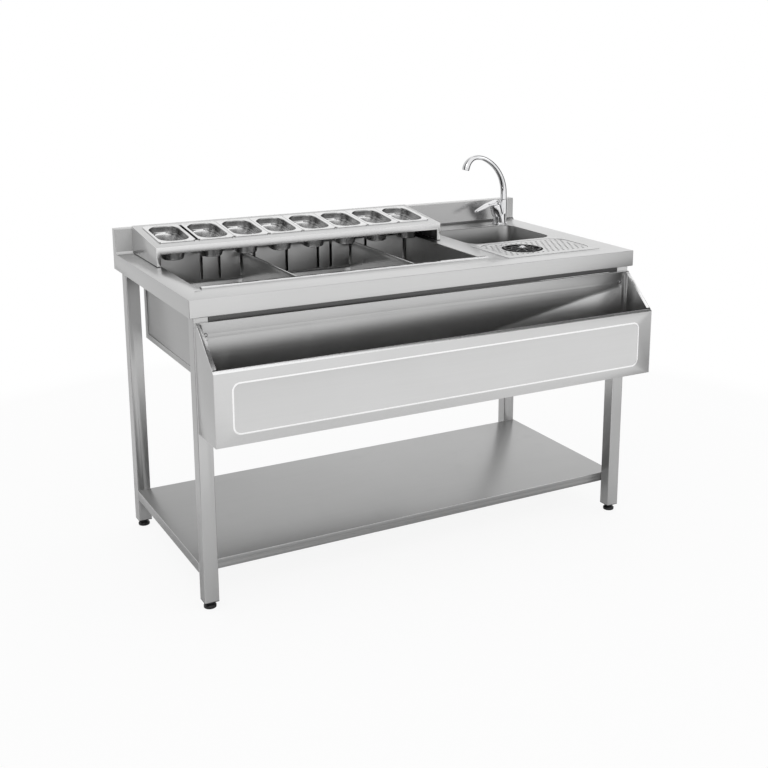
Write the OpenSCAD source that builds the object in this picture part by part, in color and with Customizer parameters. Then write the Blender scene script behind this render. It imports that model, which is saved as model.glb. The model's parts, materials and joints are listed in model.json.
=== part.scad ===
// Stainless steel bar station: worktop with ice well, pan holder, sink, glass rinser, tap,
// speed rail and under shelf. Millimetres. Origin: centre of the overall box, on the floor.
// +X runs along the worktop, -Y is the bartender's side, +Z is up.

/* [Worktop] */
// Length of the worktop
top_w = 1400; // [1260:5:1600]
// Depth of the worktop
top_d = 700; // [630:5:770]
// Height of the working surface above the floor
top_h = 850; // [820:5:950]
// Thickness of the worktop sheet
top_t = 1.5; // [1:0.25:2]
// Height of the folded edge round the worktop
edge_h = 48; // [44:1:60]
// Width of the return fold under each edge
hem = 9; // [6:0.5:10]
// Height of the upstand above the working surface
upstand_h = 75; // [60:5:120]
// Thickness of the upstand
upstand_t = 30; // [20:1:36]
// Width of the sloped bend at the foot of the upstand
cove = 7; // [4:1:10]

/* [Frame] */
// Outside width of the square leg tube
leg_size = 40; // [36:1:44]
// Wall of the leg tube
leg_wall = 1.5; // [1.2:0.1:2.5]
// Radius of the tube's outside corners
leg_r = 2.5; // [2:0.5:4]
// Distance from the worktop's ends to the legs
leg_in_x = 12; // [11:0.5:16]
// Distance from the worktop's front to the front legs
leg_in_front = 10.5; // [10.5:0.5:14]
// Distance from the worktop's back to the rear legs
leg_in_back = 38.5; // [38:0.5:44]
// Height of the top frame tubes
rail_tube_h = 40; // [30:1:44]
// Depth of the top frame tubes
rail_tube_d = 20; // [16:1:24]
// How far the front frame tube shows below the worktop's edge
front_tube_drop = 10; // [6:1:14]

/* [Feet] */
// Gap between the floor and the end of a leg
foot_h = 22; // [20:1:30]
// Radius of the foot's base
foot_r = 17; // [14:0.5:19]
// Radius of the foot's threaded stem
foot_stem_r = 5; // [4:0.5:6]
// Thickness of the plug's flange under the leg tube
cap_flange = 2; // [1.5:0.5:4]
// Travel of the adjusting thread
foot_travel = 20; // [10:1:22]

/* [Shelf] */
// Height of the shelf's top face
shelf_z = 121.5; // [100:0.5:250]
// Height of the shelf's folded edge
shelf_edge = 28; // [24:1:40]
// Thickness of the shelf sheet
shelf_t = 1.5; // [1:0.25:2]
// Width of the return fold under the shelf
shelf_hem = 14; // [10:1:20]
// Radius of the shelf bolts' shanks
bolt_r = 3; // [2.5:0.5:4]

/* [Ice well] */
// Distance from the worktop's left end to the well
well_x = 64; // [62:1:70]
// Distance from the well to the sink
well_to_sink = 84; // [80:1:90]
// Distance from the worktop's front to the well
well_y = 123; // [120:1:130]
// Distance from the well to the upstand
well_back = 59; // [57:1:62]
// Depth of the well below the worktop
well_deep = 245; // [220:5:280]
// Thickness of the well's sheet
well_t = 1.5; // [1:0.25:2]
// Distance from the slotted rear guide to the well's rear wall
guide_gap = 12; // [11:0.5:13]
// How far the slotted rear guide hangs down
guide_h = 88; // [80:1:100]
// Width of the guide slots
slot_w = 9; // [7:0.5:10]
// Height of the raised front edge of the well
lip_h = 4; // [3:0.5:5]
// Depth of the raised front edge of the well
lip_d = 17; // [14:1:20]
// Thickness of a divider
divider_t = 1.5; // [1:0.25:2]
// Gap between a divider's top edge and the worktop's surface
divider_drop = 7; // [7:1:12]
// Radius of the well's drain tail
drain_r = 19; // [16:0.5:20]

/* [Pan holder] */
// Distance from the worktop's left end to the holder
holder_x = 50; // [48:1:50]
// How far the holder reaches past the well's right end
holder_past_well = 37; // [34:1:38]
// Height of the holder's front edge above the worktop
holder_front_h = 55; // [54:1:62]
// Slope of the holder's top
holder_slope = 6.4; // [6:0.1:7]
// Height of the holder's front lip
holder_lip = 20; // [16:1:22]
// Width of the holder's folded feet
holder_foot = 12; // [10:1:12]
// Thickness of the holder's sheet
holder_t = 1.5; // [1:0.25:2]
// Thickness of the seal under the holder
seal_t = 2; // [1.5:0.5:3]
// Distance from the holder's front edge to the pans, along the slope
pan_land = 41; // [38:1:42]
// Distance from the pans to the holder's back edge, along the slope
pan_back_land = 26; // [25:0.5:28]
// Distance from the holder's left side to the first pan
pan_left_land = 22; // [20:0.5:24]
// Distance from the last pan to the holder's right side
pan_right_land = 17.4; // [16:0.1:20]
// Number of pans
pan_count = 8; // [8:1:8]
// Length of a pan's rim
pan_l = 176; // [174:1:177]
// Depth of a pan, from its rim to its base
pan_deep = 65; // [40:1:65]
// Height of a pan's folded rim
pan_rim = 3; // [3:0.5:4]
// Thickness of a pan's sheet
pan_t = 0.8; // [0.7:0.1:1]
// Gap between two pans
pan_gap = 0.6; // [0.5:0.1:0.7]
// Slack between the first and the second pan
pan_slack = 8; // [6:0.5:9]

/* [Sink] */
// Distance from the sink bowl to the worktop's right end
sink_right = 80; // [76:1:84]
// Length of the sink bowl
sink_w = 308; // [300:1:312]
// Distance from the worktop's front to the sink
sink_y = 312; // [310:1:314]
// Distance from the sink bowl to the tap's base ring
sink_to_tap = 10; // [9:0.5:14]
// Depth of the bowl below the worktop
sink_deep = 150; // [120:5:200]
// Corner radius of the bowl
sink_r = 45; // [40:1:50]
// Thickness of the bowl's sheet
sink_t = 1.2; // [1:0.1:1.5]
// Radius of the sink's waste tail
waste_r = 20; // [16:0.5:22]

/* [Glass rinser] */
// Distance from the rinser's frame to the worktop's right end
tray_right = 68; // [64:1:70]
// Length of the frame
tray_w = 338; // [336:1:342]
// Distance from the worktop's front to the frame
tray_y = 76; // [74:1:78]
// Depth of the frame, front to back
tray_d = 226; // [224:1:228]
// Thickness of the frame
tray_t = 1; // [0.8:0.1:1.2]
// Margin between the frame's edge and the perforated plate
tray_margin = 12; // [10:1:14]
// Corner radius of the perforated plate
plate_r = 58; // [40:1:64]
// Thickness of the perforated plate
plate_t = 1.5; // [1:0.25:2]
// Radius of the plate's holes
hole_r = 3.8; // [3:0.1:4.2]
// Distance between the plate's holes
hole_pitch = 18.6; // [17:0.1:20]
// Depth of the basin under the plate
basin_deep = 42; // [36:1:50]
// Radius of the pressing star
star_r = 57.5; // [54:0.5:60]
// How far the star is left of the plate's middle
star_off = 45; // [40:1:60]
// Height of the star's spokes
star_h = 5; // [4:0.5:6]
// Number of the star's spokes
spokes = 10; // [6:1:14]
// Travel of the star
star_travel = 8; // [5:1:9]

/* [Tap] */
// Distance from the tap's centre to the worktop's right end
tap_right = 92; // [88:1:96]
// Distance from the tap's centre to the upstand
tap_back = 57; // [54:1:60]
// Radius of the tap's base ring
tap_ring_r = 25; // [23:0.5:26]
// Thickness of the base ring
tap_ring_h = 4; // [3:0.5:6]
// Radius of the tap's body at its foot
tap_body_r = 22; // [20:0.5:23]
// Tilt of the lever's barrel
barrel_tilt = 18; // [14:1:20]
// Radius of the lever's barrel
barrel_r = 20; // [19:0.5:21]
// Radius of the column that carries the spout
column_r = 13; // [12:0.5:14]
// Distance from the tap's centre to the spout's axis
column_off = 14; // [13:0.5:16]
// Radius of the spout at its foot
spout_foot_r = 11.8; // [10:0.1:12]
// Radius of the spout at its crown
spout_r = 8.3; // [7.5:0.1:10]
// Radius of the spout at its mouth
mouth_r = 13; // [11:0.5:14]
// Length of the spout's straight foot
spout_rise = 18; // [10:1:40]
// Bend radius of the spout's rising stretch
bend_1 = 133; // [120:1:150]
// Bend radius of the spout's crown
bend_2 = 76; // [60:1:95]
// Bend radius of the spout's falling stretch
bend_3 = 44; // [38:1:60]
// Length of the lever's paddle
lever_l = 74; // [60:1:90]

/* [Speed rail] */
// Distance from the worktop's ends to the speed rail
rail_in_x = 15.7; // [13:0.1:20]
// Depth of the speed rail
rail_d = 126; // [110:1:140]
// Height of the rail's floor above the room's floor
rail_z = 495; // [470:1:520]
// Height of the rail's front wall
rail_front_h = 191; // [150:1:210]
// Height of the rail's back wall
rail_back_h = 293; // [280:1:296]
// Thickness of the rail's sheet
rail_t = 1.5; // [1:0.25:2]
// Width of the folds along the rail's front and back edges
rail_fold = 9.5; // [7:0.5:11]
// Width of the sloped folds on the rail's end plates
rail_end_fold = 12; // [9:0.5:15]
// Distance from the rail's ends to the pressed bead
bead_in_x = 46; // [40:1:60]
// Distance from the rail's lower and upper edges to the pressed bead
bead_in_z = 27; // [20:1:34]
// Corner radius of the pressed bead
bead_r = 22; // [15:1:30]
// Width of the pressed bead
bead_w = 4.5; // [3:0.5:6]
// Height of the pressed bead
bead_h = 1.2; // [0.8:0.1:1.6]
// Radius of the hanging screws' shanks
screw_r = 3; // [2.5:0.5:3.5]

/* [Hidden] */
$fn = 48;

// Shared clearances
slide_gap = 0.3;
seat_gap = 0.01;
turn_gap = 0.06;
hole_gap = 0.5;
past = 1;
hull_fn = 32;
nut_sides = 6;

// Heights and planes that several pieces share
under_top = top_h - top_t;
edge_z = top_h - edge_h;
upstand_y = top_d - upstand_t;
leg_x = [leg_in_x, top_w - leg_in_x - leg_size];
leg_y = [leg_in_front, top_d - leg_in_back - leg_size];
rail_front_y = leg_in_front - rail_d;
origin_y = (rail_front_y - bead_h + top_d) / 2;

// Tap's place, and the sink that follows it
tap_x = top_w - tap_right;
tap_y = upstand_y - tap_back;
sink_x = top_w - sink_right - sink_w;
sink_d = tap_y - tap_ring_r - sink_to_tap - sink_y;
tray_x = top_w - tray_right - tray_w;

// Well
well_w = sink_x - well_to_sink - well_x;
well_d = upstand_y - well_back - well_y;
well_z = top_h - well_deep;
well_end = [well_x + well_w, well_y + well_d];
guide_y = well_end[1] - guide_gap - well_t;
slot_marks = [19.7, 26.2, 34.4, 39.2, 51.6, 63.9, 69, 77, 83.3];
divider_slots = slot_marks * well_w / 100;
divider_places = [2, 7];
tab_h = 56;
guide_end_gap = 7;
notch_w = 7;
notch_d = 9;
strip_t = 1.2;
divider_z = well_z + 12;
notch_z = top_h - 26;
guide_z = [top_h - 4 - guide_h, top_h - 4];
guide_slot_z = guide_z[0] + 6;
drain_at = [well_x + well_w / 2, well_y + well_d / 2];
drain_tail = 50;
drain_flange = 12;
base_angle = 15;
base_strap = 22;

// Pan holder and pans
holder_z = top_h + holder_front_h;
holder_end_y = upstand_y - hole_gap;
holder_base = top_h + seal_t;
holder_y = holder_end_y - (pan_land + pan_l + pan_back_land) * cos(holder_slope);
holder_w = well_end[0] + holder_past_well - holder_x;
holder_rise = tan(holder_slope) * (holder_end_y - holder_y);
pan_first_x = holder_x + pan_left_land;
pan_room = holder_w - pan_left_land - pan_right_land - pan_slack - (pan_count - 2) * pan_gap;
pan_w = pan_room / pan_count;
pan_rest = 6;
pan_r = 10;
pan_mouth = [pan_l - 22, pan_w - 20];
pan_base = [pan_l - 54, pan_w - 50];
pan_corner = [0.315, 0.22] * pan_w;

// Sink
sink_mid = [sink_x + sink_w / 2, sink_y + sink_d / 2];
sink_floor = top_h - sink_deep;
waste_flange = 36;
waste_tail = 100;
waste_nut_h = 14;

// Rinser
tray_mid = [tray_x + tray_w / 2, tray_y + tray_d / 2];
plate_size = [tray_w - 2 * tray_margin, tray_d - 2 * tray_margin];
ledge = 10;
ledge_z = top_h - plate_t;
basin_z = top_h - basin_deep;
star_at = [tray_mid[0] - star_off, tray_mid[1]];
star_z = top_h - 3;
star_gap = 6.5;
valve_top = star_z - star_travel - 5;
stem_r = 5;
stem_z = star_z - star_travel - 16;
basin_drain_off = 110;
basin_drain_at = [tray_mid[0] + basin_drain_off, tray_mid[1]];
basin_drain_r = 12.5;
basin_drain_l = 38;
valve_r = 16;
valve_inlet_r = 6.6;
valve_inlet_l = 40;

// Tap
tap_foot = top_h + tap_ring_h;
shank_r = 16;
shank_l = 50;
inlet_r = 5;
column_top = top_h + 82;
spigot_r = 8;
spigot_l = 24;
collar_h = 4;
barrel_from = [-8, top_h + 30];
barrel_l = 34;
bonnet_h = 4;
hub_h = 13;
lever_from = barrel_l + bonnet_h + 2 * slide_gap;
pivot_at = [12.5, lever_from + 4];
pivot_r = 1.6;
pivot_l = 11;
ear = [2.8, 4];
cartridge_r = barrel_r - 4;
spout_start = column_top + collar_h + slide_gap;
spout_bends = [[bend_1, 65], [bend_2, 25], [bend_3, 77]];
spout_steps = 12;
spout_sides = 24;

// Speed rail
rail_x = [rail_in_x, top_w - rail_in_x];
screw_x = [leg_x[0] + leg_size - 10, leg_x[1] + 10];
screw_z = rail_z + rail_back_h - 34;
screw_head = [6, 3.3];
key_drop = 11;

steel = [0.78, 0.79, 0.80];
bright = [0.86, 0.87, 0.88];
chrome = [0.92, 0.93, 0.95];
dark = [0.10, 0.10, 0.11];

// Moves a piece from the worktop's front left corner to the shared origin
module place() translate([-top_w / 2, -origin_y, 0]) children();

// Box between two corners
module span(low, high) translate(low) cube(high - low);

// Extrudes a YZ outline along X, or an XZ outline along Y
module along_x(x0, x1) translate([x0, 0, 0]) rotate([90, 0, 90]) linear_extrude(x1 - x0) children();
module along_y(y0, y1) translate([0, y1, 0]) rotate([90, 0, 0]) linear_extrude(y1 - y0) children();

// Rectangle with round corners, about its centre
module rounded(w, d, r) {
    square([w - 2 * r, d], center = true);
    square([w, d - 2 * r], center = true);
    for (x = [-1, 1], y = [-1, 1]) translate([x * (w / 2 - r), y * (d / 2 - r)]) circle(r);
}

// Rounded slab from z0 to z1 about a point
module slab(at, size, r, z0, z1) {
    translate([at[0], at[1], z0]) linear_extrude(z1 - z0) rounded(size[0], size[1], r);
}

// Outline of folded sheet: the path and the same path moved t to its left
function unit(v) = v / norm(v);
function left(v) = [-v[1], v[0]];
function side(p, i) = left(unit(p[i + 1] - p[i]));
function mitre(p, i, t) =
    i == 0 ? p[0] + side(p, 0) * t
    : i == len(p) - 1 ? p[i] + side(p, i - 1) * t
    : let (a = side(p, i - 1), b = side(p, i)) p[i] + (a + b) * t / (1 + a * b);
module fold(path, t) {
    polygon(concat(path, [for (i = [len(path) - 1:-1:0]) mitre(path, i, t)]));
}

// Square tube standing on z0
module upright(at, size, r, wall, z0, z1) {
    difference() {
        slab(at, [size, size], r, z0, z1);
        slab(at, [size - 2 * wall, size - 2 * wall], r - wall + 0.5, z0 - past, z1 + past);
    }
}

// Shallow tray turned upside down, with a return fold round its open side
module inverted_tray(low, high, t, ret) {
    difference() {
        span(low, high);
        span(low + [t, t, t], high - [t, t, t]);
        span(low + [ret, ret, -past], [high[0] - ret, high[1] - ret, low[2] + t + past]);
    }
}

// Hat section: two flanges and a raised middle that points down
module hat(w, h, flange, t) {
    fold([[-w / 2 - flange, 0], [-w / 2, 0], [-w / 2, -h], [w / 2, -h], [w / 2, 0], [w / 2 + flange, 0]], -t);
}

// Worktop: folded edge, upstand with its sloped bend, and the cut-outs
module worktop_outline() {
    fold([
        [top_d - hem, edge_z], [top_d, edge_z], [top_d, top_h + upstand_h],
        [upstand_y, top_h + upstand_h], [upstand_y, top_h + cove], [upstand_y - cove, top_h],
        [0, top_h], [0, edge_z], [hem, edge_z]
    ], top_t);
}
module worktop_end() {
    polygon([
        [0, edge_z], [0, top_h], [upstand_y - cove, top_h], [upstand_y, top_h + cove],
        [upstand_y, top_h + upstand_h], [top_d, top_h + upstand_h], [top_d, edge_z]
    ]);
}
module worktop() color(steel) place() {
    low = under_top - past;
    high = top_h + past;
    difference() {
        union() {
            along_x(0, top_w) worktop_outline();
            for (x = [0, top_w - top_t]) along_x(x, x + top_t) worktop_end();
            span([0, 0, edge_z], [hem, top_d, edge_z + top_t]);
            span([top_w - hem, 0, edge_z], [top_w, top_d, edge_z + top_t]);
        }
        span([well_x, well_y, low], [well_end[0], well_end[1], high]);
        slab(sink_mid, [sink_w, sink_d], sink_r, low, high);
        slab(tray_mid, plate_size + [9, 9], plate_r + 4, low, high);
        translate([tap_x, tap_y, low]) cylinder(r = shank_r + 1.5, h = high - low);
        span([well_x - 17, well_y - lip_d - 13, low], [well_x + 5, well_y - lip_d - 10.5, high]);
    }
}

// Hat section under the worktop, between the well and the sink
module worktop_stiffener() color(steel) place() {
    translate([(well_end[0] + sink_x) / 2 - 6, 0, under_top])
        along_y(leg_in_front + rail_tube_d, leg_y[1] + leg_size - rail_tube_d) hat(30, 24, 11, top_t);
}

// Legs of square tube, with holes for the shelf's bolts and the rail's screws
function leg_mid(i, j) = [leg_x[i] + leg_size / 2, leg_y[j] + leg_size / 2];
shelf_bolt_z = shelf_z - shelf_edge / 2;
module leg(i, j) color(steel) place() {
    inner_y = j == 0 ? leg_y[0] + leg_size : leg_y[1];
    difference() {
        upright(leg_mid(i, j), leg_size, leg_r, leg_wall, foot_h, under_top);
        translate([leg_mid(i, j)[0], inner_y, shelf_bolt_z])
            rotate([90, 0, 0]) cylinder(r = bolt_r + hole_gap, h = 3 * leg_wall, center = true);
        if (j == 0)
            translate([screw_x[i], leg_y[0], screw_z])
                rotate([90, 0, 0]) cylinder(r = screw_r + hole_gap, h = 3 * leg_wall, center = true);
    }
}
module leg_front_left() leg(0, 0);
module leg_front_right() leg(1, 0);
module leg_rear_left() leg(0, 1);
module leg_rear_right() leg(1, 1);

// Plug in the end of a leg, with the thread for the foot
module leg_plug(i, j) color(dark) place() {
    inner = leg_size - 2 * leg_wall - 1;
    difference() {
        union() {
            slab(leg_mid(i, j), [leg_size, leg_size], leg_r, foot_h - cap_flange, foot_h);
            slab(leg_mid(i, j), [inner, inner], leg_r, foot_h - cap_flange, foot_h + 18);
        }
        translate([leg_mid(i, j)[0], leg_mid(i, j)[1], 0])
            cylinder(r = foot_stem_r + turn_gap, h = foot_h + 30);
    }
}
module leg_plug_front_left() leg_plug(0, 0);
module leg_plug_front_right() leg_plug(1, 0);
module leg_plug_rear_left() leg_plug(0, 1);
module leg_plug_rear_right() leg_plug(1, 1);

// Adjustable foot: broad base, neck and threaded stem
module foot(i, j) color(dark) place() {
    top = foot_h - cap_flange - slide_gap;
    translate([leg_mid(i, j)[0], leg_mid(i, j)[1], 0]) rotate_extrude() polygon([
        [0, 0], [foot_r - 1, 0], [foot_r, 1], [foot_r, 7], [foot_r - 4, 11], [foot_stem_r + 5, 12],
        [foot_stem_r + 5, top], [foot_stem_r, top], [foot_stem_r, top + foot_travel + 6],
        [0, top + foot_travel + 6]
    ]);
}
module foot_front_left() foot(0, 0);
module foot_front_right() foot(1, 0);
module foot_rear_left() foot(0, 1);
module foot_rear_right() foot(1, 1);

// Top frame of rectangular tube between the legs
module tube(w, h, wall) {
    difference() {
        square([w, h]);
        translate([wall, wall]) square([w - 2 * wall, h - 2 * wall]);
    }
}
module frame_tube_front() color(steel) place() {
    translate([0, leg_y[0], edge_z - front_tube_drop])
        along_x(leg_x[0] + leg_size, leg_x[1]) tube(rail_tube_d, rail_tube_h, leg_wall);
}
module frame_tube_rear() color(steel) place() {
    translate([0, leg_y[1] + leg_size - rail_tube_d, under_top - rail_tube_h])
        along_x(leg_x[0] + leg_size, leg_x[1]) tube(rail_tube_d, rail_tube_h, leg_wall);
}
module frame_tube_side(x) color(steel) place() {
    translate([x, 0, under_top - rail_tube_h])
        along_y(leg_y[0] + leg_size, leg_y[1]) tube(rail_tube_d, rail_tube_h, leg_wall);
}
module frame_tube_left() frame_tube_side(leg_x[0]);
module frame_tube_right() frame_tube_side(leg_x[1] + leg_size - rail_tube_d);

// Shelf between the front and the rear legs, and the hat section under it
shelf_y = [leg_y[0] + leg_size, leg_y[1]];
module shelf() color(steel) place() {
    difference() {
        inverted_tray([leg_x[0], shelf_y[0], shelf_z - shelf_edge],
            [leg_x[1] + leg_size, shelf_y[1], shelf_z], shelf_t, shelf_hem);
        for (i = [0, 1], j = [0, 1]) translate([leg_mid(i, j)[0], shelf_y[j], shelf_bolt_z])
            rotate([90, 0, 0]) cylinder(r = bolt_r + hole_gap, h = 3 * shelf_t, center = true);
    }
}
module shelf_stiffener() color(steel) place() {
    translate([0, (shelf_y[0] + shelf_y[1]) / 2, shelf_z - shelf_t])
        along_x(leg_x[0] + shelf_t, leg_x[1] + leg_size - shelf_t) hat(50, shelf_edge - 8, 15, shelf_t);
}

// Hexagon bolts that hold the shelf to the legs
module shelf_bolts() color(steel) place() {
    for (i = [0, 1], j = [0, 1]) translate([leg_mid(i, j)[0], shelf_y[j], shelf_bolt_z])
        rotate([j == 0 ? -90 : 90, 0, 0]) {
            translate([0, 0, -leg_wall - 8]) cylinder(r = bolt_r, h = leg_wall + 8 + shelf_t);
            translate([0, 0, shelf_t]) cylinder(r = bolt_r * 1.9, h = bolt_r * 1.3, $fn = nut_sides);
        }
}

// Ice well: tub, base frame, raised front edge, slotted rear guide and drain
module well_tub() color(steel) place() {
    difference() {
        span([well_x - well_t, well_y - well_t, well_z - well_t],
            [well_end[0] + well_t, well_end[1] + well_t, under_top]);
        span([well_x, well_y, well_z], [well_end[0], well_end[1], top_h]);
        translate([drain_at[0], drain_at[1], well_z - 10]) cylinder(r = drain_r + hole_gap, h = 20);
    }
}
module well_base_frame() color(steel) place() {
    low = [well_x - 2 * well_t, well_y - 2 * well_t, well_z - 2 * well_t];
    high = [well_end[0] + 2 * well_t, well_end[1] + 2 * well_t, well_z - well_t + base_angle];
    tub_low = low + [well_t, well_t, well_t];
    tub_high = [high[0] - well_t, high[1] - well_t, top_h];
    difference() {
        union() {
            span(low, high);
            for (x = [low[0], high[0] - base_strap])
                span([x, high[1] - base_strap, low[2]], [x + base_strap, high[1], edge_z - 2]);
        }
        span(tub_low, tub_high);
        span(low + [base_angle, base_angle, -past], high - [base_angle, base_angle, 0]);
    }
}
module well_front_strip() color(bright) place() {
    back = well_y + strip_t;
    lip_x = [well_x + 6, well_end[0] + 14];
    difference() {
        union() {
            along_x(lip_x[0], lip_x[1])
                fold([[back - lip_d, top_h], [back - lip_d, top_h + lip_h], [back, top_h + lip_h],
                    [back, top_h]], -strip_t);
            span([well_x + 6, well_y, notch_z - 4],
                [well_end[0] - 6, back, top_h + lip_h - strip_t / 2]);
        }
        for (x = divider_slots) {
            span([well_x + x - notch_w / 2, well_y - 1.5, notch_z],
                [well_x + x + notch_w / 2, back + past, top_h + lip_h + past]);
            span([well_x + x - notch_w / 2, back - notch_d, top_h + lip_h - 2 * strip_t],
                [well_x + x + notch_w / 2, back + past, top_h + lip_h + past]);
        }
    }
}
module well_rear_guide() color(steel) place() {
    low = [well_x, guide_y, guide_z[0]];
    high = [well_end[0], guide_y + well_t, guide_z[1]];
    difference() {
        union() {
            span(low, high);
            for (x = [low[0], high[0] - well_t])
                span([x, guide_y, low[2]], [x + well_t, well_end[1], high[2]]);
        }
        for (x = divider_slots) span([well_x + x - slot_w / 2, guide_y - past, guide_slot_z],
            [well_x + x + slot_w / 2, guide_y + well_t + past, high[2] + past]);
        span([high[0] - well_t - guide_end_gap, guide_y - past, guide_slot_z],
            [high[0] - well_t, guide_y + well_t + past, high[2] + past]);
    }
}
module well_drain() color(bright) place() {
    translate([drain_at[0], drain_at[1], well_z]) difference() {
        union() {
            cylinder(r = drain_r + drain_flange, h = 2);
            translate([0, 0, -drain_tail]) cylinder(r = drain_r, h = drain_tail + 1);
            translate([0, 0, -well_t - 12]) cylinder(r = drain_r + 8, h = 12, $fn = 8);
        }
        translate([0, 0, -drain_tail - past]) cylinder(r = drain_r - 3, h = drain_tail);
        for (k = [0:5]) rotate(60 * k) translate([drain_r * 0.55, 0, -past]) cylinder(r = 3, h = 5);
        translate([0, 0, -past]) cylinder(r = 3, h = 5);
    }
}

// Divider plate with a closed top fold and a tab in the rear guide
module divider(place_index) color(steel) place() {
    x = well_x + divider_slots[divider_places[place_index]];
    top = top_h - divider_drop;
    front = well_y + 0.4;
    translate([x, 0, 0]) {
        span([-divider_t / 2, front, notch_z], [divider_t / 2, front + 4, top]);
        span([-divider_t / 2, front + 3, divider_z], [divider_t / 2, guide_y - slide_gap, top]);
        span([-divider_t / 2, guide_y - 1, guide_slot_z],
            [divider_t / 2, well_end[1] - 2, guide_slot_z + tab_h]);
        span([-divider_t * 1.3, front + 4, top - 8], [divider_t * 1.3, guide_y - slide_gap, top]);
    }
}
module divider_left() divider(0);
module divider_right() divider(1);

// Places children on the holder's sloped top: x along the holder, y up the slope
module on_slope() translate([holder_x, holder_y, holder_z]) rotate([holder_slope, 0, 0]) children();

// Pan holder: sloped top, lip, two sides with folded feet
function pan_mid(k) = [
    pan_first_x - holder_x + pan_w / 2 + (k > 0 ? pan_slack - pan_gap : 0) + k * (pan_w + pan_gap),
    pan_land + pan_l / 2
];
pan_row_end = pan_mid(pan_count - 1)[0] + pan_w / 2;
module pan_holder() color(steel) place() {
    x = [holder_x, holder_x + holder_w];
    back_z = holder_z + holder_rise;
    difference() {
        union() {
            along_x(x[0], x[1]) fold([
                [holder_end_y, back_z - 18], [holder_end_y, back_z], [holder_y, holder_z],
                [holder_y, holder_z - holder_lip], [holder_y + 8, holder_z - holder_lip]
            ], holder_t);
            for (side_x = [x[0], x[1] - holder_t]) along_x(side_x, side_x + holder_t) polygon([
                [holder_y, holder_base], [holder_y, holder_z], [holder_end_y, back_z],
                [holder_end_y, holder_base + cove], [holder_end_y - cove, holder_base]
            ]);
            for (foot_x = [x[0], x[1] - holder_foot]) {
                span([foot_x, holder_y, holder_base],
                    [foot_x + holder_foot, holder_y + holder_t, holder_z - holder_lip + 1]);
                span([foot_x, holder_y, holder_base],
                    [foot_x + holder_foot, holder_end_y - cove - 2, holder_base + holder_t]);
            }
        }
        on_slope() span([pan_first_x - holder_x + pan_rest, pan_land + pan_rest, -10],
            [pan_row_end - pan_rest, pan_land + pan_l - pan_rest, 10]);
    }
}
module holder_seal() color(dark) place() {
    for (x = [holder_x, holder_x + holder_w - holder_foot])
        span([x, holder_y, top_h], [x + holder_foot, holder_end_y - cove - 2, holder_base]);
}

// Drawn pan: folded rim, generous corners, tapered walls and a rounded base
module pan_section(l, w, r, z) {
    translate([0, 0, z]) linear_extrude(0.01) hull() for (x = [-1, 1], y = [-1, 1])
        translate([x * (w / 2 - r), y * (l / 2 - r)]) circle(r, $fn = hull_fn);
}
module pan_body(inset, z_top, z_base) {
    wide = pan_mouth - [2 * inset, 2 * inset];
    base = pan_base - [2 * inset, 2 * inset];
    bend = wide + (base - wide) * 0.45;
    hull() {
        pan_section(wide[0], wide[1], pan_corner[0] - inset, z_top);
        pan_section(bend[0], bend[1], pan_corner[0] - 3 - inset, z_base + 14);
        pan_section(bend[0] - 8, bend[1] - 8, pan_corner[0] - 6 - inset, z_base + 4);
        pan_section(base[0], base[1], pan_corner[1] - inset, z_base);
    }
}
module pan(k) color(bright) place() on_slope() translate([pan_mid(k)[0], pan_mid(k)[1], seat_gap]) {
    base = pan_rim - pan_deep;
    difference() {
        union() {
            difference() {
                slab([0, 0], [pan_w, pan_l], pan_r, 0, pan_rim);
                slab([0, 0], [pan_w - 2 * pan_t, pan_l - 2 * pan_t], pan_r - pan_t, -past, pan_rim - pan_t);
            }
            pan_body(0, pan_rim - 0.01, base);
        }
        pan_body(pan_t, pan_rim + 0.5, base + pan_t);
    }
}
module pan_1() pan(0);
module pan_2() pan(1);
module pan_3() pan(2);
module pan_4() pan(3);
module pan_5() pan(4);
module pan_6() pan(5);
module pan_7() pan(6);
module pan_8() pan(7);

// Sink bowl with its flange under the worktop, waste, nut and strainer
module bowl_shape(grow, z_top, z_base) {
    hull() {
        translate([sink_mid[0], sink_mid[1], 0]) {
            pan_section(sink_d + 2 * grow, sink_w + 2 * grow, sink_r + grow, z_top);
            pan_section(sink_d - 12 + 2 * grow, sink_w - 12 + 2 * grow, sink_r - 4 + grow, z_base + 22);
            pan_section(sink_d - 26 + 2 * grow, sink_w - 26 + 2 * grow, sink_r - 8 + grow, z_base + 6);
            pan_section(sink_d - 48 + 2 * grow, sink_w - 48 + 2 * grow, sink_r - 14 + grow, z_base);
        }
    }
}
module sink_bowl() color(steel) place() {
    difference() {
        union() {
            bowl_shape(sink_t, under_top - 0.01, sink_floor - sink_t);
            slab(sink_mid, [sink_w + 16, sink_d + 16], sink_r + 8, under_top - sink_t, under_top);
        }
        bowl_shape(0, under_top + 0.5, sink_floor);
        translate([sink_mid[0], sink_mid[1], sink_floor - 10]) cylinder(r = waste_r + 5, h = 20);
    }
}
module sink_waste() color(bright) place() {
    translate([sink_mid[0], sink_mid[1], sink_floor]) difference() {
        union() {
            cylinder(r = waste_flange, h = 2);
            translate([0, 0, -30]) cylinder(r = waste_r + 4.5, h = 31);
            translate([0, 0, -waste_tail]) cylinder(r = waste_r, h = waste_tail);
        }
        translate([0, 0, -waste_tail - past]) cylinder(r = waste_r - 2.5, h = waste_tail + 10);
    }
}
module sink_waste_nut() color(dark) place() {
    translate([sink_mid[0], sink_mid[1], sink_floor - sink_t - waste_nut_h]) difference() {
        cylinder(r = waste_flange, h = waste_nut_h, $fn = 8);
        translate([0, 0, -past]) cylinder(r = waste_r + 5, h = 20);
    }
}
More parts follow.
